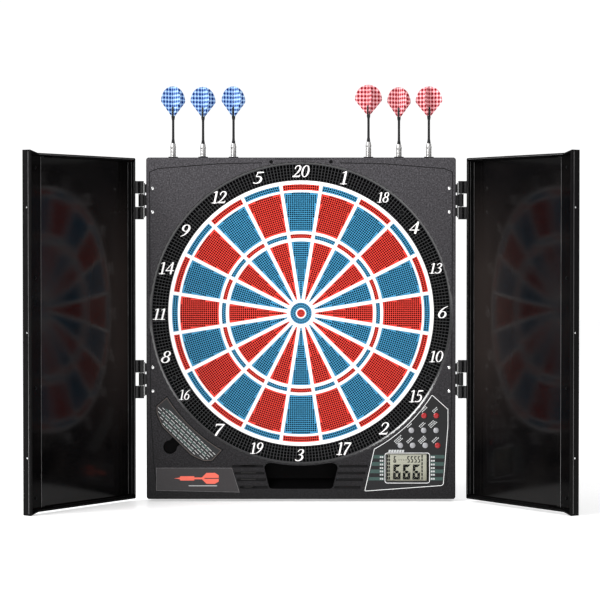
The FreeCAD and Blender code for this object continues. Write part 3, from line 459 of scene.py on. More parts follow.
BATTERY = moulded("battery_jacket", (0.03, 0.05, 0.09), 0.30, 0.1, 5.0, 0.1, 0.5)
SPRING = metal("spring_steel", (0.66, 0.65, 0.62), 0.28)
STEEL = metal("bright_steel", (0.82, 0.82, 0.82), 0.20)
BARREL = metal("barrel_steel", (0.44, 0.435, 0.43), 0.36)
DARK_STEEL = metal("blackened_steel", (0.010, 0.010, 0.0105), 0.55)
HINGE = moulded("hinge_plastic_black", (0.004, 0.004, 0.0045), 0.24, 0.2, 3.0, 0.15, 0.4, specular=0.35)
DOOR = moulded("door_plastic_black", (0.0030, 0.0029, 0.0030), 0.46, 0.3, 5.0, 0.30, 0.45, specular=0.05)
GLOSS = {side: gloss_panel("door_gloss_" + side, sign) for side, sign in SIDES}
GRIP = {side: gloss_panel("door_grip_" + side, sign, 0.02) for side, sign in SIDES}
BUTTON_RED = moulded("button_cap_red", (0.31, 0.008, 0.010), 0.24, 0.06, 2.0, 0.1, 0.3)
BUTTON_GREY = moulded("button_cap_grey", (0.30, 0.30, 0.315), 0.30, 0.06, 2.0, 0.1, 0.3)
# Pale chamfer strip round the name plate: a painted highlight
NAME_PLATE_HIGHLIGHT = moulded("foil_edge", (0.17, 0.167, 0.17), 0.35, 0.45, 6.0, 0.2, 0.4)
# Pale strips along the door edges: painted highlights
DOOR_HIGHLIGHT = moulded("door_edge_sheen", (0.14, 0.138, 0.14), 0.25, 0.35, 60.0, 0.1, 0.4, specular=0.6)
# Near-black sheets put inside holes: painted shade
HOLE_SHADE = moulded("hole_shade", (0.0012, 0.0012, 0.0013), 0.9, 0.2, 1.0, 0.3, 0.3, specular=0.0)
INK_WHITE = moulded("ink_white", (0.80, 0.80, 0.80), 0.45, 0.05, 0.8, 0.1, 0.2)
INK_PALE = moulded("ink_pale_grey", (0.47, 0.48, 0.48), 0.50, 0.12, 0.8, 0.1, 0.2)
INK_TEAL = moulded("ink_teal", (0.022, 0.055, 0.047), 0.45, 0.15, 1.2, 0.2, 0.3)
INK_COPPER = moulded("ink_copper", (0.11, 0.075, 0.062), 0.40, 0.15, 1.0, 0.1, 0.3)
INK_CORAL = moulded("ink_coral", (0.78, 0.125, 0.080), 0.42, 0.06, 1.0, 0.1, 0.2)
CRYSTAL = moulded("crystal_dark", (0.003, 0.0032, 0.0026), 0.5, 0.1, 1.0, 0.1, 0.2, specular=0.1)
FLIGHT_BLUE = gingham("flight_foil_blue", (0.002, 0.018, 0.130), (0.045, 0.165, 0.500), (0.50, 0.70, 0.90))
FLIGHT_RED = gingham("flight_foil_red", (0.190, 0.003, 0.006), (0.620, 0.070, 0.095), (0.88, 0.56, 0.58))

NODE_MATERIALS = {
    "front_frame": FACE, "rear_housing": REAR, "battery_door": REAR, "number_ring": RING,
    "spider_web": WHITE, "double_segments": RED, "triple_segments": RED, "inner_bull": RED,
    "outer_single_segments": BLUE, "inner_single_segments": BLUE, "outer_bull": BLUE,
    "silicone_mats": RUBBER, "wall_pads": RUBBER, "contact_membrane": FILM,
    "backing_board": WOOD, "control_panel_plate": PANEL, "menu_plate": MENU, "name_plate": NAME,
    "display_window": WINDOW, "display_module": GLASS, "control_board": BOARD, "speaker": CONE,
    "internal_wiring": WIRE, "batteries": BATTERY,
    "battery_contacts": SPRING, "hinge_screws": STEEL, "hinge_pins": STEEL,
    "dark_screws": DARK_STEEL, "body_hinge_leaves": HINGE, "grip_cups": SHADED_FACE, "inner_posts": REAR,
}
for side, _ in SIDES:
    NODE_MATERIALS.update({
        side + "_door_shell": DOOR, side + "_door_grip": GRIP[side], side + "_door_panel": GLOSS[side],
        side + "_door_hinges": HINGE, side + "_door_screws": DARK_STEEL, side + "_door_magnets": STEEL,
    })
for button in ("start", "power", "hold", "bounce", "sound", "option", "double", "player", "game"):
    NODE_MATERIALS["button_" + button] = BUTTON_RED if button in ("start", "power", "hold") else BUTTON_GREY

for node_name, node in frame["nodes"].items():
    node.data.materials.clear()
    node.data.materials.append(NODE_MATERIALS.get(node_name, BLACK))


# ---- mesh helpers
# Points are (x, y, z) in millimetres. Loops are (x, z), counter-clockwise seen from the front.

def piece(name, shape, body, material, slot=None, replaced=(), smooth=None):
    """A mesh object that rides on a body. Its shape is a Solid or a pair of points and faces."""
    points, faces = shape
    mesh = bpy.data.meshes.new(name)
    mesh.from_pydata([tuple(p) for p in np.asarray(points, float) * MM], [], faces)
    mesh.materials.append(material)
    if smooth:
        mesh.shade_smooth()
        mesh.set_sharp_from_angle(angle=math.radians(smooth))
    made = bpy.data.objects.new(name, mesh)
    bpy.context.scene.collection.objects.link(made)
    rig.ride(made, body)
    if slot:
        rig.slot(made, slot)
    if replaced:
        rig.replaces(made, *replaced)
    return made


class Solid:
    """Points and faces of one piece, gathered from several shapes."""

    def __init__(self):
        self.points = []
        self.faces = []

    def __iter__(self):
        return iter((self.points, self.faces))

    def add(self, points, faces):
        start = len(self.points)
        self.points.extend(tuple(p) for p in points)
        self.faces.extend(tuple(i + start for i in face) for face in faces)
        return self

    def turned(self, angles):
        """Copies turned clockwise about the bull's axis."""
        points = np.asarray(self.points, float)
        copies = Solid()
        for angle in angles:
            c, s = math.cos(angle), math.sin(angle)
            turned = points.copy()
            turned[:, 0] = c * points[:, 0] + s * points[:, 2]
            turned[:, 2] = -s * points[:, 0] + c * points[:, 2]
            copies.add(turned.tolist(), self.faces)
        return copies


def clock(radius, angle):
    """(x, z) at an angle measured clockwise from the top."""
    return radius * math.sin(angle), radius * math.cos(angle)


def triangles(loops):
    """Triangles inside any of the loops: (points, faces, loops that hold each face)."""
    points, rings = [], []
    for loop in loops:
        rings.append(list(range(len(points), len(points) + len(loop))))
        points.extend(Vector(p) for p in loop)
    made, _, faces, origin, _, inside = geometry.delaunay_2d_cdt(points, [], rings, 1, 1e-5)
    return [tuple(p) for p in made], faces, origin, inside


def extruded(loops, front, back):
    """Plate over the union of the loops, between two depths."""
    made, faces, _, inside = triangles(loops)
    faces = [face for face, holders in zip(faces, inside) if holders]
    count = len(made)
    points = [(x, front, z) for x, z in made] + [(x, back, z) for x, z in made]
    directed = {(a, b) for face in faces for a, b in zip(face, face[1:] + face[:1])}
    solid = [tuple(face) for face in faces] + [tuple(i + count for i in reversed(face)) for face in faces]
    solid += [(a, a + count, b + count, b) for a, b in directed if (b, a) not in directed]
    return points, solid


def hoop_faces(n):
    """Faces of a closed hoop of four loops: outer and inner front, then outer and inner back."""
    faces = []
    for i in range(n):
        j = (i + 1) % n
        faces += [
            (i, j, n + j, n + i), (3 * n + i, 3 * n + j, 2 * n + j, 2 * n + i),
            (i, 2 * n + i, 2 * n + j, j), (n + j, 3 * n + j, 3 * n + i, n + i),
        ]
    return faces


def band(outer, inner, front, back):
    """Flat ring between two loops with the same number of points."""
    points = [(x, y, z) for y in (front, back) for loop in (outer, inner) for x, z in loop]
    return points, hoop_faces(len(outer))


def bevelled(outer, inner, y_outer, y_inner, thick=0.05):
    """Thin sloping strip between two loops with the same number of points."""
    points = [(x, y_outer, z) for x, z in outer] + [(x, y_inner, z) for x, z in inner]
    points += [(x, y + thick, z) for x, y, z in points]
    return points, hoop_faces(len(outer))


def rounded(corners, steps=5):
    """Loop through (x, z, corner radius) points."""
    loop = []
    for i, (x, z, radius) in enumerate(corners):
        here = Vector((x, z))
        if not radius:
            loop.append((x, z))
            continue
        back = (Vector(corners[i - 1][:2]) - here).normalized()
        ahead = (Vector(corners[(i + 1) % len(corners)][:2]) - here).normalized()
        half = back.angle(ahead) / 2
        centre = here + (back + ahead).normalized() * (radius / math.sin(half))
        start, end = here + back * (radius / math.tan(half)), here + ahead * (radius / math.tan(half))
        a, b = start - centre, end - centre
        for k in range(steps + 1):
            spot = centre + a.slerp(b, k / steps).normalized() * radius
            loop.append((spot.x, spot.y))
    return loop


def grown(loop, amount):
    """The loop moved outwards by an amount, or inwards if it is negative."""
    result = []
    for i, here in enumerate(loop):
        here = Vector(here)
        back, ahead = here - Vector(loop[i - 1]), Vector(loop[(i + 1) % len(loop)]) - here
        sides = [Vector((d.y, -d.x)).normalized() for d in (back, ahead)]
        middle = (sides[0] + sides[1]).normalized()
        spot = here + middle * (amount / max(0.3, middle.dot(sides[0])))
        result.append((spot.x, spot.y))
    return result


def box_loop(x0, x1, z0, z1, lean=0.0):
    """Rectangle whose top is shifted to the right by lean times its height."""
    shift = lean * (z1 - z0)
    return [(x0, z0), (x1, z0), (x1 + shift, z1), (x0 + shift, z1)]


def bar_loop(x, z, length, width, angle):
    """Rectangle centred on a point and turned counter-clockwise."""
    c, s = math.cos(angle), math.sin(angle)
    corners = box_loop(-length / 2, length / 2, -width / 2, width / 2)
    return [(x + c * u - s * v, z + s * u + c * v) for u, v in corners]


def disc_loop(x, z, radius, count):
    return [
        (x + radius * math.cos(2 * math.pi * k / count), z + radius * math.sin(2 * math.pi * k / count))
        for k in range(count)
    ]


def lathe(profile, steps, place, axis="Z"):
    """Closed solid turned about a vertical axis, or about one along Y, from (radius, height) points."""
    points, faces = [], []
    x0, y0, z0 = place
    for radius, height in profile:
        for k in range(steps):
            angle = 2 * math.pi * k / steps
            u, v = radius * math.cos(angle), radius * math.sin(angle)
            points.append((x0 + u, y0 + v, z0 + height) if axis == "Z" else (x0 + u, y0 + height, z0 - v))
    rows = len(profile)
    for row in range(rows - 1):
        for k in range(steps):
            a, b = row * steps + k, row * steps + (k + 1) % steps
            faces.append((a, b, b + steps, a + steps))
    faces.append(tuple(reversed(range(steps))))
    faces.append(tuple(range((rows - 1) * steps, rows * steps)))
    return points, faces


# ---- perforated score segments

def pitted(loop, pits, front):
    """Front face of a plate with blind holes in it. Returns points, faces and the loop's point numbers."""
    made, faces, origin, inside = triangles([loop] + [pit[0] for pit in pits])
    number = {}
    for new, olds in enumerate(origin):
        for old in olds:
            number[old] = new
    points = [(x, front, z) for x, z in made]
    kept = [tuple(face) for face, holders in zip(faces, inside) if holders == [0]]
    rim = [number[i] for i in range(len(loop))]
    start = len(loop)
    for mouth, throat, lip, floor in pits:
        count = len(mouth)
        top = [number[start + i] for i in range(count)]
        start += count
        neck = list(range(len(points), len(points) + count))
        points += [(x, front + lip, z) for x, z in throat]
        foot = list(range(len(points), len(points) + count))
        points += [(x, floor, z) for x, z in throat]
        for i in range(count):
            j = (i + 1) % count
            kept += [(top[i], top[j], neck[j], neck[i]), (neck[i], neck[j], foot[j], foot[i])]
        kept.append(tuple(foot))
    return points, kept, rim


HOLE_MOUTH = 1.37
HOLE_THROAT = 1.30
HOLE_LIP = 0.25
HOLE_FLOOR = -30.5
HOLE_SIDES = 8
PITCH = 3.05


def pit(x, z, scale=1.0):
    """Mouth and throat of a blind hole, the depth of its lip and the depth of its floor."""
    mouth = disc_loop(x, z, HOLE_MOUTH * scale, HOLE_SIDES)
    throat = disc_loop(x, z, HOLE_THROAT * scale, HOLE_SIDES)
    return mouth, throat, HOLE_LIP, HOLE_FLOOR


def wedge_loop(inner, outer, offset, steps=9):
    """Outline of a segment whose sides stand off the dividers by an offset."""
    turn_in = SECTOR / 2 - math.asin(offset / inner)
    turn_out = SECTOR / 2 - math.asin(offset / outer)
    top = [clock(outer, turn_out * (1 - 2 * k / (steps - 1))) for k in range(steps)]
    low = [clock(inner, turn_in * (2 * k / (steps - 1) - 1)) for k in range(steps)]
    return top + low


def wall(upper, lower):
    """Quads between two rings of point numbers."""
    count = len(upper)
    return [(upper[i], lower[i], lower[(i + 1) % count], upper[(i + 1) % count]) for i in range(count)]


def body_behind(points, faces, rim, loop, flange_loop):
    """Walls a pitted front down its sides and round its rear flange, and returns the point numbers of its back
    outline.
    """
    levels = [rim]
    for ring, depth in ((loop, FLANGE_FRONT), (flange_loop, FLANGE_FRONT), (flange_loop, SEGMENT_BACK)):
        levels.append(list(range(len(points), len(points) + len(ring))))
        points += [(x, depth, z) for x, z in ring]
    for upper, lower in zip(levels, levels[1:]):
        faces += wall(upper, lower)
    return levels[-1]


def wedge_solid(radii, spots):
    """One perforated segment with its rear flange."""
    inner, outer = radii
    loop = wedge_loop(inner + GAP, outer - GAP, SIDE_OFFSET)
    flange = wedge_loop(inner + GAP - FLANGE, outer - GAP + FLANGE, SIDE_OFFSET - FLANGE)
    points, faces, rim = pitted(loop, [pit(x, z, scale) for x, z, scale in spots], SEGMENT_FRONT)
    back = body_behind(points, faces, rim, loop, flange)
    half = len(back) // 2
    for i in range(half - 1):
        j = len(back) - 1 - i
        faces.append((back[i], back[j], back[j - 1], back[i + 1]))
    return Solid().add(points, faces)


def straight_grid(radii):
    """Holes on a square grid in line with the segment's own axis."""
    inner, outer = radii
    clear = HOLE_MOUTH + GAP + 0.15
    spots = []
    for row in range(int(inner / PITCH), int(outer / PITCH) + 1):
        for column in range(-12, 13):
            x, z = column * PITCH, row * PITCH
            radius = math.hypot(x, z)
            side = z * math.sin(SECTOR / 2) - abs(x) * math.cos(SECTOR / 2)
            if inner + clear < radius < outer - clear and side > SIDE_OFFSET + HOLE_MOUTH + 0.2:
                spots.append((x, z, 1.0))
    return spots


def arc_rows(radii, rows, scale):
    """Holes on rows that follow the ring."""
    inner, outer = radii
    spots = []
    for radius in rows:
        reach = SECTOR / 2 - math.asin((SIDE_OFFSET + HOLE_MOUTH + 0.2) / radius)
        count = int(2 * reach * radius / PITCH)
        for k in range(count + 1):
            x, z = clock(radius, (k - count / 2) * PITCH / radius)
            spots.append((x, z, scale))
    return spots


RINGS = {
    "double_segments": (DOUBLE, arc_rows(DOUBLE, (185.25, 188.35), 1.0), "red"),
    "outer_single_segments": (OUTER_SINGLE, straight_grid(OUTER_SINGLE), "blue"),
    "triple_segments": (TRIPLE, arc_rows(TRIPLE, (113.1, 115.8), 0.85), "red"),
    "inner_single_segments": (INNER_SINGLE, straight_grid(INNER_SINGLE), "blue"),
}
# Depths of the black discs of painted shade inside each segment hole
SHADE_DEPTH = (-34.95, -34.90)
PAINT = {"red": (RED, "segment_red"), "blue": (BLUE, "segment_blue")}
for ring_name, (radii, spots, first) in RINGS.items():
    template = wedge_solid(radii, spots)
    shades = Solid().add(*extruded([pit(x, z, scale * 0.99)[1] for x, z, scale in spots], *SHADE_DEPTH))
    shades = shades.turned([SECTOR * k for k in range(SECTORS)])
    piece(ring_name.replace("_segments", "_hole_shades"), shades, ring_name, HOLE_SHADE)
    for offset, colour in ((0, first), (1, "blue" if first == "red" else "red")):
        copies = template.turned([SECTOR * k for k in range(offset, SECTORS, 2)])
        material, slot = PAINT[colour]
        label = ring_name.replace("_segments", "_") + colour + "_segments"
        piece(label, copies, ring_name, material, slot, [ring_name])


def bull_solid(loop, hollow, flange, spots):
    """Round segment with holes. A hollow loop makes it a ring."""
    pits = [pit(x, z, scale) for x, z, scale in spots]
    if hollow:
        pits.append((hollow, hollow, HOLE_LIP, SEGMENT_BACK))
    points, faces, rim = pitted(loop, pits, SEGMENT_FRONT)
    hollow_rim = faces.pop() if hollow else None
    back = body_behind(points, faces, rim, loop, flange)
    faces += wall(back, hollow_rim) if hollow else [tuple(reversed(back))]
    return points, faces


def circle_of_holes(radius, count, scale):
    return [(*clock(radius, 2 * math.pi * k / count), scale) for k in range(count)]


def circle(radius, count=48):
    """Loop about the bull's axis."""
    return disc_loop(0, 0, radius, count)


BULL_FLANGE = 0.45
outer_holes = circle_of_holes(10.2, 20, 0.95) + circle_of_holes(13.4, 26, 0.95)
outer_bull = bull_solid(
    circle(OUTER_BULL[1] - GAP), circle(OUTER_BULL[0] + GAP), circle(OUTER_BULL[1] + FLANGE - GAP),
    outer_holes,
)
piece("outer_bull_blue", outer_bull, "outer_bull", BLUE, "segment_blue", ["outer_bull"])
inner_holes = [(0.0, 0.0, 0.9)] + circle_of_holes(3.3, 7, 0.9)
inner_bull = bull_solid(circle(INNER_BULL - GAP), None, circle(INNER_BULL + BULL_FLANGE), inner_holes)
piece("inner_bull_red", inner_bull, "inner_bull", RED, "segment_red", ["inner_bull"])


# ---- bright edge of the round opening

FINE = 240
opening = bevelled(circle(224.9, FINE), circle(221.45, FINE), -38.03, -36.05)
piece("opening_bevel", opening, "cabinet", RIM, "face_plastic")


# ---- perforated number ring

RING_COLUMNS = 14 * SECTORS
RING_LINES = (196.8, 197.6, 201.1, 202.2, 205.7, 206.7, 210.1, 211.1, 214.6, 215.6, 220.4, 221.3)
RIB_HALF = 0.45
TOP_LEVEL, MID_LEVEL, FLOOR_LEVEL = 0, 1, 2
LEVELS = (-36.0, -35.6, -32.0)
RING_BACK = -31.0
SCREW_RADIUS = 211.0
SCREW_CLEAR = 4.6
# Black band of painted shade behind the ring's holes: inner and outer radius, front and back depth
RING_SHADE = (197.2, 221.0, -35.35, -35.30)
SCREW_ANGLES = [math.radians(a) for a in (45.0, 117.0, 243.0, 315.0)]


def ring_level(line, row):
    """Level of one cell: rims and radial ribs stand tallest, round ribs lower, holes are deep."""
    start, end = line_angle(line), line_angle(line + 1)
    middle = clock((RING_LINES[row] + RING_LINES[row + 1]) / 2, (start + end) / 2)
    for angle in SCREW_ANGLES:
        x, z = clock(SCREW_RADIUS, angle)
        if math.hypot(middle[0] - x, middle[1] - z) < SCREW_CLEAR:
            return FLOOR_LEVEL
    if line % 2 == 0 or row in (0, len(RING_LINES) - 2):
        return TOP_LEVEL
    return FLOOR_LEVEL if row % 2 else MID_LEVEL


def line_angle(line):
    """Angle of a rib's edge. Even lines are a rib's left edge and odd lines its right edge."""
    column, odd = divmod(line, 2)
    side = RIB_HALF if odd else -RIB_HALF
    return 2 * math.pi * (column + 0.5) / RING_COLUMNS + side / SCREW_RADIUS


# Section of the tube round a ring screw, as (radius, depth)
BOSS_PROFILE = (
    (1.7, -32.0), (4.1, -32.0), (4.1, -35.9), (3.1, -35.9), (3.1, -33.6), (1.7, -33.6), (1.7, -32.0),
)


def number_ring():
    """Lattice of the ring, built cell by cell, with a black band of painted shade in its holes, and screw bosses."""
    lines, rows = 2 * RING_COLUMNS, len(RING_LINES) - 1
    level = [[ring_level(line, row) for row in range(rows)] for line in range(lines)]
    index, points, faces = {}, [], []

    def at(line, row, depth):
        key = (line % lines, row, depth)
        if key not in index:
            index[key] = len(points)
            x, z = clock(RING_LINES[row], line_angle(line))
            points.append((x, depth, z))
        return index[key]

    def face(*corners):
        faces.append(tuple(at(*corner) for corner in corners))

    def column(line, row, first, last):
        """Point numbers down a vertical edge, from one level to another."""
        step = 1 if last > first else -1
        return [at(line, row, LEVELS[k]) for k in range(first, last + step, step)]

    for line in range(lines):
        for row in range(rows):
            here = level[line][row]
            y = LEVELS[here]
            face((line + 1, row, y), (line + 1, row + 1, y), (line, row + 1, y), (line, row, y))
            beyond = level[(line + 1) % lines][row]
            if beyond != here:
                down, up = column(line + 1, row, here, beyond), column(line + 1, row + 1, beyond, here)
                faces.append(tuple(down + up))
            if row + 1 < rows and level[line][row + 1] != here:
                above = level[line][row + 1]
                down, up = column(line + 1, row + 1, here, above), column(line, row + 1, above, here)
                faces.append(tuple(down + up))
        top = LEVELS[TOP_LEVEL]
        after = line + 1
        face((line, rows, top), (after, rows, top), (after, rows, RING_BACK), (line, rows, RING_BACK))
        face((after, 0, top), (line, 0, top), (line, 0, RING_BACK), (after, 0, RING_BACK))
        face((line, 0, RING_BACK), (line, rows, RING_BACK), (after, rows, RING_BACK), (after, 0, RING_BACK))
    inner, outer, front, back = RING_SHADE
    shade_ring = band(circle(outer, FINE), circle(inner, FINE), front, back)
    piece("number_ring_shade", shade_ring, "cabinet", HOLE_SHADE)
    piece("number_ring_lattice", (points, faces), "cabinet", RING, "ring_plastic", ["number_ring"])
    for k, angle in enumerate(SCREW_ANGLES):
        x, z = clock(SCREW_RADIUS, angle)
        tube_points, tube_faces = lathe(BOSS_PROFILE, 24, (x, 0, z), "Y")
        boss = tube_points, tube_faces[:-2]
        piece(f"ring_screw_boss_{k + 1}", boss, "cabinet", RING, "ring_plastic")


number_ring()


# ---- raised numerals, drawn as strokes of changing width in a box one unit tall

def oval(x, z, rx, rz, thin=0.055, thick=0.15):
    """Closed stroke, thick at its sides and thin at its top and foot."""
    return [
        (x + rx * math.cos(a), z + rz * math.sin(a), thin + (thick - thin) * abs(math.cos(a)) ** 1.3)
        for a in (2 * math.pi * k / 24 for k in range(25))
    ]


# Width of each figure, and its strokes as runs of (x, z, stroke width)
GLYPHS = {
    "0": (0.64, [oval(0.32, 0.5, 0.245, 0.472)]),
    "1": (0.47, [
        [(0.25, 0.03, 0.15), (0.25, 0.93, 0.15)], [(0.04, 0.025, 0.055), (0.46, 0.025, 0.055)],
        [(0.27, 0.965, 0.07), (0.16, 0.93, 0.06), (0.05, 0.86, 0.045)],
    ]),
    "2": (0.62, [
        [(0.09, 0.70, 0.07), (0.12, 0.86, 0.075), (0.27, 0.965, 0.065), (0.44, 0.91, 0.12),
         (0.50, 0.74, 0.155), (0.41, 0.50, 0.12), (0.22, 0.24, 0.07), (0.05, 0.06, 0.06)],
        [(0.05, 0.065, 0.125), (0.30, 0.065, 0.13), (0.50, 0.065, 0.12)],
        [(0.52, 0.075, 0.10), (0.58, 0.20, 0.035)],
    ]),
    "3": (0.58, [
        [(0.09, 0.80, 0.06), (0.16, 0.93, 0.065), (0.30, 0.965, 0.06), (0.44, 0.89, 0.12),
         (0.44, 0.72, 0.135), (0.33, 0.58, 0.07), (0.20, 0.53, 0.05)],
        [(0.22, 0.54, 0.05), (0.40, 0.49, 0.10), (0.50, 0.33, 0.155), (0.43, 0.13, 0.13),
         (0.26, 0.035, 0.07), (0.10, 0.06, 0.10), (0.03, 0.13, 0.07)],
    ]),
    "4": (0.62, [
        [(0.44, 0.95, 0.06), (0.22, 0.62, 0.055), (0.03, 0.30, 0.055)],
        [(0.03, 0.285, 0.085), (0.60, 0.285, 0.085)], [(0.43, 0.03, 0.15), (0.43, 0.93, 0.15)],
    ]),
    "5": (0.58, [
        [(0.18, 0.925, 0.13), (0.38, 0.935, 0.12), (0.53, 0.95, 0.08)],
        [(0.18, 0.92, 0.06), (0.12, 0.58, 0.05)],
        [(0.12, 0.575, 0.055), (0.30, 0.60, 0.08), (0.45, 0.51, 0.13), (0.49, 0.31, 0.155),
         (0.40, 0.11, 0.12), (0.22, 0.035, 0.07), (0.06, 0.07, 0.10)],
    ]),
    "6": (0.62, [
        oval(0.31, 0.29, 0.225, 0.265),
        [(0.56, 0.97, 0.04), (0.38, 0.88, 0.075), (0.20, 0.68, 0.12), (0.095, 0.42, 0.15),
         (0.085, 0.29, 0.15)],
    ]),
    "7": (0.56, [
        [(0.07, 0.925, 0.125), (0.30, 0.925, 0.13), (0.54, 0.925, 0.12)],
        [(0.07, 0.91, 0.07), (0.04, 0.77, 0.035)],
        [(0.54, 0.91, 0.08), (0.38, 0.56, 0.11), (0.26, 0.28, 0.145), (0.20, 0.04, 0.155)],
    ]),
    "8": (0.62, [oval(0.32, 0.755, 0.175, 0.215, 0.055, 0.13), oval(0.30, 0.275, 0.225, 0.245)]),
    "9": (0.62, [
        oval(0.32, 0.71, 0.225, 0.265),
        [(0.06, 0.03, 0.04), (0.24, 0.12, 0.075), (0.42, 0.32, 0.12), (0.535, 0.58, 0.15),
         (0.545, 0.71, 0.15)],
    ]),
}
ITALIC = 0.21
STROKE_HALF = 0.46
LETTER_SPACE = 0.02
# A run with more points than this is already smooth
SMOOTH_ENOUGH = 20


def smooth_run(run, steps=4):
    """More points between those of a stroke, on a smooth line through them."""
    if len(run) < 3 or len(run) > SMOOTH_ENOUGH:
        return run
    padded = [run[0]] + list(run) + [run[-1]]
    result = []
    for p0, p1, p2, p3 in zip(padded, padded[1:], padded[2:], padded[3:]):
        for k in range(steps):
            t = k / steps
            result.append(tuple(
                0.5 * (2 * b + (c - a) * t + (2 * a - 5 * b + 4 * c - d) * t * t
                       + (3 * b - a - 3 * c + d) * t ** 3)
                for a, b, c, d in zip(p0, p1, p2, p3)
            ))
    return result + [run[-1]]


def stroke_loops(run, place, height):
    """Quads and discs that together cover a stroke."""
    x0, z0 = place
    spots = [
        (x0 + (x + ITALIC * z) * height, z0 + z * height, STROKE_HALF * w * height)
        for x, z, w in smooth_run(run)
    ]
    loops = [disc_loop(x, z, radius, 10) for x, z, radius in spots]
    for (xa, za, ra), (xb, zb, rb) in zip(spots, spots[1:]):
        length = math.hypot(xb - xa, zb - za)
        if length < 1e-6:
            continue
        nx, nz = (zb - za) / length, -(xb - xa) / length
        loops.append([(xa + nx * ra, za + nz * ra), (xb + nx * rb, zb + nz * rb),
                      (xb - nx * rb, zb - nz * rb), (xa - nx * ra, za - nz * ra)])
    return loops


def figure(text, height):
    """Loops of a number whose middle height is zero."""
    pen, loops = 0.0, []
    for c in text:
        width, runs = GLYPHS[c]
        for run in runs:
            loops += stroke_loops(run, (pen, -height / 2), height)
        pen += (width + LETTER_SPACE) * height
    return loops


# Width and height of each raised number, and its angle clockwise from the top
NUMERALS = {
    20: (26.6, 17.8, 0.0), 1: (10.4, 19.2, 17.4), 18: (18.5, 15.2, 35.3), 4: (14.8, 17.8, 52.8),
    13: (20.0, 15.4, 71.5), 6: (15.0, 17.8, 89.5), 10: (21.8, 16.6, 107.7), 15: (22.4, 17.8, 125.7),
    2: (15.0, 18.2, 144.2), 17: (23.6, 18.8, 162.4), 3: (13.6, 17.8, 180.6), 19: (20.7, 16.5, 198.2),
    7: (14.8, 17.8, 214.9), 16: (17.6, 15.0, 235.0), 8: (14.8, 17.8, 252.1), 11: (19.6, 16.4, 269.7),
    14: (23.7, 17.8, 288.6), 9: (14.8, 17.8, 305.6), 12: (23.7, 17.8, 324.8), 5: (16.3, 17.8, 342.6),
}
NUMERAL_RADIUS = 210.3
NUMERAL_DEPTHS = (-36.75, -35.9)
PAIR_WIDTH = 0.95
numerals = Solid()
for score, (width, height, degrees) in NUMERALS.items():
    x, z = clock(NUMERAL_RADIUS, math.radians(degrees))
    loops = figure(str(score), height)
    low, high = min(u for loop in loops for u, _ in loop), max(u for loop in loops for u, _ in loop)
    stretch, middle = (PAIR_WIDTH if score > 9 else 1.0) * width / (high - low), (low + high) / 2
    loops = [[(x + (u - middle) * stretch, z + v) for u, v in loop] for loop in loops]
    numerals.add(*extruded(loops, *NUMERAL_DEPTHS))
piece("ring_numerals", numerals, "cabinet", WHITE, "web_plastic")


# ---- printed control panel and display

PANEL_FRONT = -37.8
PRINT = 0.07
THIN_PRINT = 0.04
INK_GAP = 0.005


def printed(name, loops, front, material, body="cabinet", thick=PRINT):
    """Thin raised ink on a surface at a depth."""
    return piece(name, extruded(loops, front - thick, front - INK_GAP), body, material)


def outline(name, outer, inner, front, material, body="cabinet"):
    """Line of ink between two loops."""
    return piece(name, band(outer, inner, front - PRINT, front - INK_GAP), body, material)


def crossing(a, b, radius):
    """Where the line from a to b leaves a circle about the bull."""
    a, b = Vector(a), Vector(b)
    d = b - a
    p, q = 2 * a.dot(d) / d.dot(d), (a.dot(a) - radius ** 2) / d.dot(d)
    t = -p / 2 + math.sqrt(p * p / 4 - q)
    return a + d * t


def arc_between(a, b, radius, steps=24):
    """Points on a circle about the bull, from a to b, without the ends."""
    start, end = math.atan2(a[0], a[1]), math.atan2(b[0], b[1])
    start, end = start % (2 * math.pi), end % (2 * math.pi)
    return [clock(radius, start + (end - start) * k / steps) for k in range(1, steps)]


def closed_by_arc(corners, first, last, radius, bend):
    """Rounded loop whose last side follows the number ring, from one place to another."""
    arc = [(x, z, 0) for x, z in arc_between(first, last, radius)]
    return rounded([*corners, (*first, bend), *arc, (*last, 1.5)])


def on_line(a, b, z):
    """x of the line through two points at a height."""
    return a[0] + (z - a[1]) * (b[0] - a[0]) / (b[1] - a[1])


# Corners of the panel, clockwise from the lower left
PANEL_FOOT, PANEL_KNEE, PANEL_TIP = (93.3, -264.5), (117.7, -157.0), (186.0, -112.5)
PANEL_SHOULDER, PANEL_SIDE, PANEL_HEEL = (218.6, -141.7), (218.6, -167.3), (211.6, -256.0)
PANEL_ARC = 227.6
panel_a = crossing(PANEL_TIP, PANEL_SHOULDER, PANEL_ARC)
panel_b = crossing(PANEL_KNEE, PANEL_FOOT, PANEL_ARC)
panel_corners = [(*PANEL_FOOT, 2), (*PANEL_HEEL, 5), (*PANEL_SIDE, 4), (*PANEL_SHOULDER, 2)]
panel_loop = closed_by_arc(panel_corners, panel_a, panel_b, PANEL_ARC, 2.5)
outline("panel_outline_print", grown(panel_loop, -0.55), grown(panel_loop, -1.35), PANEL_FRONT, INK_WHITE)

BEZEL = (124.0, 191.0, -252.0, -206.6)
bx0, bx1 = BEZEL[:2]
bezel_outer = rounded([(x, z, 4) for x, z in box_loop(*BEZEL)])
outline("bezel_outline_print", bezel_outer, grown(bezel_outer, -0.8), PANEL_FRONT, INK_WHITE)

STRIPES = ((-215.0, -210.0), (-226.0, -220.5), (-237.0, -231.4), (-247.7, -242.8))
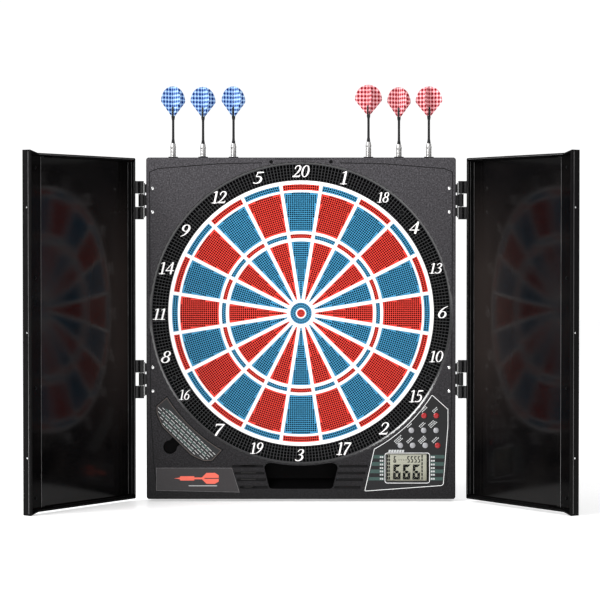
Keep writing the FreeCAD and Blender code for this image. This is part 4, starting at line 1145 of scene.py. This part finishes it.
# Gaps between a stripe and the bezel, and between it and the left and right edges of the panel
STRIPE_GAP, LEFT_GAP, RIGHT_GAP = 0.6, 2.2, 2.4
stripes = []
for z0, z1 in STRIPES:
    left0, left1 = (on_line(PANEL_KNEE, PANEL_FOOT, z) + LEFT_GAP for z in (z0, z1))
    right0, right1 = (on_line(PANEL_SIDE, PANEL_HEEL, z) - RIGHT_GAP for z in (z0, z1))
    stripes.append([(left0, z0), (bx0 - STRIPE_GAP, z0), (bx0 - STRIPE_GAP, z1), (left1, z1)])
    stripes.append([(bx1 + STRIPE_GAP, z0), (right0, z0), (right1, z1), (bx1 + STRIPE_GAP, z1)])
printed("panel_stripes_print", stripes, PANEL_FRONT, INK_TEAL, thick=THIN_PRINT)

LABEL_ROWS = (-213.0, -218.5, -224.0, -229.4, -234.3, -239.3, -245.3)
LABEL_COLUMNS = ((116.9, 119.0), (119.7, 121.9), (192.4, 194.9), (195.6, 198.2))
LABEL_HALF = 1.3
labels = [
    box_loop(*column, z - LABEL_HALF, z + LABEL_HALF) for z in LABEL_ROWS for column in LABEL_COLUMNS
]
CAPTION_SLOPE = math.radians(43)
CAPTION_PITCH = 2.5
CAPTION_GAP = 0.75
DASH_HEIGHT = 1.35


def slanted_label(x, z, lines, length):
    """Rows of short slanted dashes that stand for a caption."""
    c, s = math.cos(CAPTION_SLOPE), math.sin(CAPTION_SLOPE)
    for row in range(lines):
        across = (row - (lines - 1) / 2) * CAPTION_PITCH
        cx, cz = x + across * s, z - across * c
        run = -length / 2
        while run < length / 2 - 1.0:
            dash = random.uniform(1.5, 3.0)
            u = run + dash / 2
            labels.append(bar_loop(cx + u * c, cz + u * s, dash, DASH_HEIGHT, CAPTION_SLOPE))
            run += dash + CAPTION_GAP


# Middle, rows and length of each button's caption
CAPTIONS = (
    (182.5, -141.5, 2, 11.5), (198.6, -143.2, 2, 9.0), (160.9, -166.0, 1, 9.5), (179.6, -165.0, 2, 10.5),
    (194.8, -163.6, 3, 12.0), (144.3, -187.6, 3, 12.5), (161.2, -187.8, 2, 11.0), (179.6, -187.6, 3, 11.5),
    (198.8, -187.2, 2, 11.0),
)
for caption in CAPTIONS:
    slanted_label(*caption)
# The word above the display, as leaning blocks
WORD = (129.3, 132.4, -206.0, -202.3)
WORD_PITCH = 3.95
for k in range(6):
    labels.append(box_loop(WORD[0] + WORD_PITCH * k, WORD[1] + WORD_PITCH * k, *WORD[2:], 0.25))
printed("panel_captions_print", labels, PANEL_FRONT, INK_PALE)

# Liquid-crystal image on the glass behind the window
GLASS_FRONT = -36.0
WINDOW_FRONT = -37.5
CRYSTAL_THICK = 0.05
SEGMENTS = {"6": "acdefg", "5": "acdfg"}
# Gap between two bars that meet
BAR_GAP = 0.2


def seven_segment(text, x, z, width, height, bar, pitch, lean):
    """Loops of seven-segment figures whose lower left corner is (x, z)."""
    loops = []
    half = height / 2
    inset, far = width - bar, height - bar
    above, below = half + bar / 2, half - bar / 2
    shapes = {
        "a": [(0, height), (width, height), (inset, far), (bar, far)],
        "d": [(0, 0), (bar, bar), (inset, bar), (width, 0)],
        "g": [(bar * 0.5, half), (bar, above), (inset, above), (width - bar * 0.5, half), (inset, below),
              (bar, below)],
        "f": [(0, height - BAR_GAP), (bar, far - BAR_GAP), (bar, above + BAR_GAP), (0, half + BAR_GAP)],
        "e": [(0, half - BAR_GAP), (bar, below - BAR_GAP), (bar, bar + BAR_GAP), (0, BAR_GAP)],
        "c": [(width, half - BAR_GAP), (width, BAR_GAP), (inset, bar + BAR_GAP), (inset, below - BAR_GAP)],
    }
    for k, c in enumerate(text):
        left = x + k * pitch
        for segment in SEGMENTS[c]:
            corners = [(left + u + lean * v, z + v) for u, v in shapes[segment]]
            area = sum(a[0] * b[1] - b[0] * a[1] for a, b in zip(corners, corners[1:] + corners[:1]))
            loops.append(corners if area > 0 else corners[::-1])
    return loops


# Text, lower left corner, width, height, bar, pitch and lean of each group of figures
FIGURES = (
    ("666", 136.4, -246.6, 11.0, 22.4, 4.0, 14.4, 0.03), ("6", 137.0, -221.4, 3.9, 9.5, 1.5, 5.2, 0.06),
    ("5555", 157.1, -221.4, 3.9, 9.5, 1.5, 5.2, 0.06),
)
TICKS = (144.0, 146.2, -217.8, -217.0)
TICK_PITCH = 3.6
# Columns of small marks beside the figures: left sides, foot, width, height and pitch
MARK_COLUMNS = (127.4, 129.9, 178.5)
MARK_FOOT, MARK_WIDTH, MARK_HEIGHT, MARK_PITCH = -246.6, 2.0, 4.3, 5.4
WINDOW_BORDER = (186.2, 188.4, -248.4, -208.6)
crystal = [loop for figures in FIGURES for loop in seven_segment(*figures)]
for k in range(4):
    crystal.append(box_loop(TICKS[0] + TICK_PITCH * k, TICKS[1] + TICK_PITCH * k, *TICKS[2:]))
for column in MARK_COLUMNS:
    for k in range(7):
        z = MARK_FOOT + MARK_PITCH * k
        crystal.append(box_loop(column, column + MARK_WIDTH, z, z + MARK_HEIGHT))
printed("display_figures", crystal, GLASS_FRONT, CRYSTAL, thick=CRYSTAL_THICK)
printed("bezel_border_print", [box_loop(*WINDOW_BORDER)], WINDOW_FRONT, CRYSTAL, thick=CRYSTAL_THICK)


# ---- lip of the hand pocket

POCKET_ARC = 225.6
POCKET_FOOT, POCKET_TOP = (46.7, -260.4), (63.0, -196.0)
# Points of the arc at each end that the rounded upper corners replace
POCKET_TRIM = 6
POCKET_BEND = 8.0


def pocket_loop():
    """Slanted sides, rounded corners and a top that follows the number ring."""
    corner = crossing(POCKET_TOP, POCKET_FOOT, POCKET_ARC)
    a, b = (clock(POCKET_ARC, math.atan2(x, corner.y)) for x in (corner.x, -corner.x))
    top = arc_between(a, b, POCKET_ARC, 32)[POCKET_TRIM:-POCKET_TRIM]
    knee = (corner.x - POCKET_BEND * 0.25 - 1.2, corner.y - POCKET_BEND * 1.6)
    right = []
    for k in range(7):
        t = k / 6
        w0, w1, w2 = (1 - t) ** 2, 2 * t * (1 - t), t * t
        x = w0 * knee[0] + w1 * (corner.x - 0.8) + w2 * top[0][0]
        right.append((x, w0 * knee[1] + w1 * corner.y + w2 * top[0][1]))
    left = [(-x, z) for x, z in reversed(right)]
    foot_x, foot_z = POCKET_FOOT
    low = rounded([(-foot_x, foot_z, 6), (foot_x, foot_z, 6), (*knee, 0), (-knee[0], knee[1], 0)])[:-2]
    return low + right + top[1:-1] + left


lip = pocket_loop()
lip_edge = bevelled(grown(lip, 0.75), grown(lip, -0.05), -38.06, -37.3)
piece("pocket_lip", lip_edge, "cabinet", RIM, "face_plastic")


# ---- menu plate, name plate

MENU_FRONT = -37.9
MENU_ARC = 234.0
menu_a = crossing((-113.5, -199.0), (-131.5, -218.6), MENU_ARC)
menu_b = crossing((-185.0, -112.0), (-198.0, -123.4), MENU_ARC)
menu_corners = [
    (-214.3, -137.7, 3), (-214.3, -147.5, 10), (-206.0, -167.8, 14), (-162.5, -210.7, 14),
    (-144.0, -219.3, 10), (-131.5, -218.6, 3),
]
menu_loop = closed_by_arc(menu_corners, menu_a, menu_b, MENU_ARC, 1.5)
menu_lines = grown(menu_loop, -0.8), grown(menu_loop, -1.3)
outline("menu_outline_print", *menu_lines, MENU_FRONT, INK_COPPER, "menu_plate")


def within(loop, x, z):
    """Whether a place lies inside a loop."""
    inside = False
    for (xa, za), (xb, zb) in zip(loop, loop[1:] + loop[:1]):
        if (za > z) != (zb > z) and x < (xb - xa) * (z - za) / (zb - za) + xa:
            inside = not inside
    return inside


# Rows of dashes that stand for the list of games, about a middle, with a bar behind every second row
MENU_SLOPE = math.radians(-44)
MENU_MIDDLE = -172.0
MENU_PITCH = 4.1
MENU_SHORTEST = 12
MENU_GAP = 2.0
BAR_WIDTH, ROW_WIDTH = 2.2, 0.95
MENU_PRINT = 0.08
menu_inner = grown(menu_loop, -2.6)
u_axis = (math.cos(MENU_SLOPE), math.sin(MENU_SLOPE))
v_axis = (-u_axis[1], u_axis[0])


def menu_place(row, run, lift=0.0):
    """Place at a distance along a row, lifted across it."""
    x0, z0 = (MENU_MIDDLE + v_axis[i] * row * MENU_PITCH for i in (0, 1))
    return x0 + u_axis[0] * run + v_axis[0] * lift, z0 + u_axis[1] * run + v_axis[1] * lift


def menu_holds(x, z):
    """Whether a row may be printed here: clear of the finger notch and of the plate's upper end."""
    return within(menu_inner, x, z) and x + z < -332.0 and z < -138.0 - 0.38 * (x + 210.0)


menu_rows, menu_bars = [], []
for row in range(-14, 15):
    runs = (-60.0 + 0.5 * k for k in range(240))
    spots = [run for run in runs if menu_holds(*menu_place(row, run))]
    if len(spots) < MENU_SHORTEST:
        continue
    low, high = spots[0], spots[-1]
    if row % 2 == 0:
        start = low + random.uniform(0.0, 0.3) * (high - low)
        end = high - random.uniform(0.0, 0.3) * (high - low)
        place = menu_place(row, (start + end) / 2, MENU_PITCH / 2)
        menu_bars.append(bar_loop(*place, end - start, BAR_WIDTH, MENU_SLOPE))
    run = low
    while run < high - MENU_GAP:
        dash = min(random.uniform(4.0, 9.0), high - run)
        menu_rows.append(bar_loop(*menu_place(row, run + dash / 2), dash, ROW_WIDTH, MENU_SLOPE))
        run += dash + MENU_GAP
printed("menu_bars_print", menu_bars, MENU_FRONT, INK_TEAL, "menu_plate", THIN_PRINT)
printed("menu_rows_print", menu_rows, MENU_FRONT, INK_PALE, "menu_plate", MENU_PRINT)

# Name plate: a plain dart emblem over a thin line
NAME_FRONT = -38.3
EMBLEM_Z = -244.6
EMBLEM_POINT, EMBLEM_SHAFT = [(-188.0, 0.0), (-179.5, -1.1), (-179.5, 1.1)], (-158.5, -143.0, 1.3)
EMBLEM_BARREL = (-179.5, -158.0, 3.2)
# Upper half of the tail, which the lower half mirrors
EMBLEM_WING = [(-147.5, 0.7), (-122.0, 0.7), (-122.0, 4.6), (-127.5, 8.1), (-140.0, 8.1)]
x0, x1, half = EMBLEM_BARREL
barrel = [(x, z, 1.2) for x, z in box_loop(x0, x1, EMBLEM_Z - half, EMBLEM_Z + half)]
x0, x1, half = EMBLEM_SHAFT
low_wing = [(x, EMBLEM_Z - z) for x, z in EMBLEM_WING]
dart_emblem = [
    [(x, EMBLEM_Z + z) for x, z in EMBLEM_POINT], rounded(barrel),
    box_loop(x0, x1, EMBLEM_Z - half, EMBLEM_Z + half), [(x, EMBLEM_Z + z) for x, z in EMBLEM_WING],
    low_wing[:1] + low_wing[:0:-1],
]
NAME_LINE = (-166.5, -124.5, -256.2, -255.1)
name_loop = [(-214.5, -262.7), (-91.1, -265.4), (-102.5, -229.0), (-214.6, -229.0)]
# The name plate's chamfer, pale with a painted highlight
name_edge = bevelled(grown(name_loop, 0.05), grown(name_loop, -0.45), -38.25, -38.36)
piece("name_plate_edge", name_edge, "cabinet", NAME_PLATE_HIGHLIGHT, "name_plastic")
printed("name_emblem_print", dart_emblem, NAME_FRONT, INK_CORAL)
printed("name_line_print", [box_loop(*NAME_LINE)], NAME_FRONT, INK_PALE)


# ---- painted highlights along the edges of the doors

def door_spot(side, along, depth):
    """Place on an opened door, along it from the pin and in depth out of its inner face."""
    c, s = math.cos(DOOR_ANGLE), math.sin(DOOR_ANGLE)
    x = HINGE_LINE[0] / MM + along * c - depth * s
    return side * x, HINGE_LINE[1] / MM - along * s - depth * c


# Each painted highlight strip as its reach along the door, in depth and in height
DOOR_HIGHLIGHT_STRIPS = (
    (10.20, 10.28, -5.2, -4.6, -268.0, 224.0), (10.20, 10.28, -10.0, -9.6, -268.0, 224.0),
    (10.35, 10.85, -16.5, -16.42, -268.0, 224.0), (236.10, 236.18, -8.8, -8.3, -276.0, 231.0),
    (12.0, 218.0, -4.0, -3.93, 227.4, 227.8), (201.8, 202.2, -15.7, -15.64, -270.0, 225.0),
)
for side, sign in SIDES:
    edges = Solid()
    for u0, u1, v0, v1, z0, z1 in DOOR_HIGHLIGHT_STRIPS:
        foot = [door_spot(sign, u, v) for u, v in ((u0, v0), (u1, v0), (u1, v1), (u0, v1))]
        corners = [(x, y, z) for z in (z0, z1) for x, y in foot]
        sheets = [(0, 1, 2, 3), (7, 6, 5, 4)]
        sheets += [(4 + k, 4 + (k + 1) % 4, (k + 1) % 4, k) for k in range(4)]
        edges.add(corners, sheets if sign < 0 else [tuple(reversed(sheet)) for sheet in sheets])
    piece(side + "_door_edges", edges, side + "_door", DOOR_HIGHLIGHT)


# ---- darts

DART_DEPTH = -21.5
# Across from the bull, lift and turn in degrees of each dart
DARTS = {
    "left_1": (-100.2, 0.0, 33.0), "left_2": (-145.4, -0.8, 28.0), "left_3": (-189.8, 0.0, 33.0),
    "right_1": (100.2, 2.4, 10.0), "right_2": (145.4, -1.3, 30.0), "right_3": (189.8, 0.0, 70.0),
}
FOIL_PITCH = (5.15, 6.0)
FOIL_HALF = 0.17
WING_HALF, WING_BOTTOM, WING_TOP = 20.5, 292.5, 336.5
GRIP_BOTTOM, GRIP_TOP, GRIP_PITCH = 213.0, 245.0, 2.15
GRIP_RADIUS, GROOVE_RADIUS = 4.2, 3.72
# Soft tip and shaft as (radius, height) points
TIP_PROFILE = [(0.05, 185.0), (0.75, 186.0), (1.1, 196.0), (2.5, 203.5), (2.5, 207.99), (0.5, 208.0)]
SHAFT_PROFILE = [
    (0.5, 252.0), (2.6, 252.1), (2.6, 253.6), (1.9, 258.5), (1.8, 270.0), (1.8, 286.0), (2.5, 289.5),
    (2.6, 291.0), (2.6, 304.0), (2.0, 306.0), (0.3, 306.2),
]


def barrel_profile():
    """Steel barrel with a smooth nose, a ringed grip and a stepped tail."""
    profile = [(0.6, 208.0), (3.0, 208.0), (3.9, 209.6), (GRIP_RADIUS, 211.5)]
    height = GRIP_BOTTOM
    while height < GRIP_TOP:
        profile += [
            (GRIP_RADIUS, height), (GROOVE_RADIUS, height + 0.45), (GROOVE_RADIUS, height + 1.05),
            (GRIP_RADIUS, height + 1.5),
        ]
        height += GRIP_PITCH
    return profile + [(GRIP_RADIUS, 247.0), (3.6, 248.6), (3.6, 250.6), (3.0, 251.9), (0.6, 252.0)]


def wing_outline():
    """Outline of one wing of a flight, as (radius, height) points."""
    half, bottom, top = WING_HALF, WING_BOTTOM, WING_TOP
    middle = top - half * 0.95
    outer = [(0.35, bottom), (3.0, bottom), (half - 0.8, middle - 4.6), (half, middle - 2.5)]
    for k in range(1, 12):
        angle = math.pi / 2 * k / 12
        height = middle - 2.5 + (top - middle + 2.5) * math.sin(angle) ** 1.05
        outer.append((half * math.cos(angle) ** 0.92, height))
    return outer + [(0.35, top)]


for name, (x, lift, spin) in DARTS.items():
    body = "dart_" + name
    place = (x, DART_DEPTH, lift)
    barrel = lathe(barrel_profile(), 28, place)
    piece(body + "_barrel", barrel, body, BARREL, "bright_steel", [body], smooth=50)
    shaft = Solid().add(*lathe(TIP_PROFILE, 20, place)).add(*lathe(SHAFT_PROFILE, 20, place))
    piece(body + "_shaft", shaft, body, BLACK, "black_plastic", [body], smooth=40)
    wings, foil = Solid(), []
    outline = wing_outline()
    for k in range(4):
        turn = math.radians(90.0 * k + spin)
        c, s = math.cos(turn), math.sin(turn)
        count = len(outline)
        corners = []
        for side in (-FOIL_HALF, FOIL_HALF):
            for r, h in outline:
                corners.append((x + r * c - side * s, DART_DEPTH + r * s + side * c, h + lift))
                sign = 1 if k in (0, 1) else -1
                foil.append((sign * r / FOIL_PITCH[0] + 0.25, h / FOIL_PITCH[1], k))
        sheet = [tuple(range(count)), tuple(reversed(range(count, 2 * count)))]
        sheet += wall(range(count), range(count, 2 * count))
        wings.add(corners, sheet)
    foil_material, slot = (FLIGHT_BLUE, "dart_blue") if x < 0 else (FLIGHT_RED, "dart_red")
    made = piece(body + "_flight", wings, body, foil_material, slot, [body])
    attribute = made.data.attributes.new("foil", "FLOAT_VECTOR", "POINT")
    attribute.data.foreach_set("vector", np.asarray(foil, np.float32).ravel())


# ---- floor, lights, camera

def floor_material():
    graph = Graph("studio_floor")
    dirt = graph.noise(3.0, 3.0, 0.5)
    graph.colour(graph.ramp(dirt, (NOISE_LOW, (0.80,) * 3), (NOISE_HIGH, (0.83,) * 3)))
    graph.shader.inputs["Emission Color"].default_value = (1, 1, 1, 1)
    graph.shader.inputs["Emission Strength"].default_value = 0.42
    graph.set(rough=0.30, specular=0.5)
    return graph.material


GROUND = -0.2790
REACH = 9
mesh = bpy.data.meshes.new("studio_floor")
mesh.from_pydata([(x, y, GROUND) for x, y in box_loop(-REACH, REACH, -REACH, REACH)], [], [(0, 1, 2, 3)])
mesh.materials.append(floor_material())
floor = bpy.data.objects.new("studio_floor", mesh)
bpy.context.scene.collection.objects.link(floor)
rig.stage(floor)


def studio_world():
    """White surround. Light from it is a little stronger from above."""
    world = bpy.data.worlds.new("studio")
    bpy.context.scene.world = world
    world.use_nodes = True
    nodes, links = world.node_tree.nodes, world.node_tree.links
    background = nodes["Background"]
    coordinates = nodes.new("ShaderNodeTexCoord")
    split = nodes.new("ShaderNodeSeparateXYZ")
    links.new(coordinates.outputs["Generated"], split.inputs[0])
    up = nodes.new("ShaderNodeMapRange")
    links.new(split.outputs[2], up.inputs["Value"])
    for name, number in zip(("From Min", "From Max", "To Min", "To Max"), (-0.2, 0.9, 0.42, 0.80)):
        up.inputs[name].default_value = number
    rays = nodes.new("ShaderNodeLightPath")
    choose = nodes.new("ShaderNodeMix")
    choose.data_type = "FLOAT"
    links.new(rays.outputs["Is Camera Ray"], choose.inputs[0])
    links.new(up.outputs[0], choose.inputs[2])
    choose.inputs[3].default_value = 1.05
    background.inputs["Color"].default_value = (1, 1, 1, 1)
    links.new(choose.outputs[0], background.inputs["Strength"])


studio_world()


def soft_light(name, place, target, width, height, power):
    """Rectangular light at a place, turned towards a target."""
    data = bpy.data.lights.new(name, "AREA")
    data.shape = "RECTANGLE"
    data.size, data.size_y = width, height
    data.energy = power
    made = bpy.data.objects.new(name, data)
    made.location = place
    made.rotation_mode = "QUATERNION"
    made.rotation_quaternion = (Vector(target) - Vector(place)).to_track_quat("-Z", "Y")
    bpy.context.scene.collection.objects.link(made)


soft_light("key_upper_left", (-2.1, -1.5, 1.9), (0.0, 0.0, 0.05), 1.5, 1.5, 140.0)
soft_light("fill_right", (2.4, -2.6, 0.9), (0.0, 0.0, 0.0), 1.6, 1.6, 22.0)

CAMERA_PLACE = (0.0, -3.300, 0.0879)
CAMERA_AIM = (-0.0015, -0.038, 0.0198)
camera_data = bpy.data.cameras.new("camera")
camera_data.lens = 132.3
camera_data.sensor_width = 36.0
camera_data.clip_start, camera_data.clip_end = 0.1, 60.0
camera = bpy.data.objects.new("camera", camera_data)
camera.location = CAMERA_PLACE
camera.rotation_mode = "QUATERNION"
camera.rotation_quaternion = (Vector(CAMERA_AIM) - camera.location).to_track_quat("-Z", "Y")
bpy.context.scene.collection.objects.link(camera)
bpy.context.scene.camera = camera
bpy.context.scene.view_settings.view_transform = "Standard"

bpy.context.view_layer.update()
with open("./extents.json", "w") as out:
    json.dump({"cad": [list(c) for c in CAD_BOX], "visual": [list(c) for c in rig.bounds()]}, out)
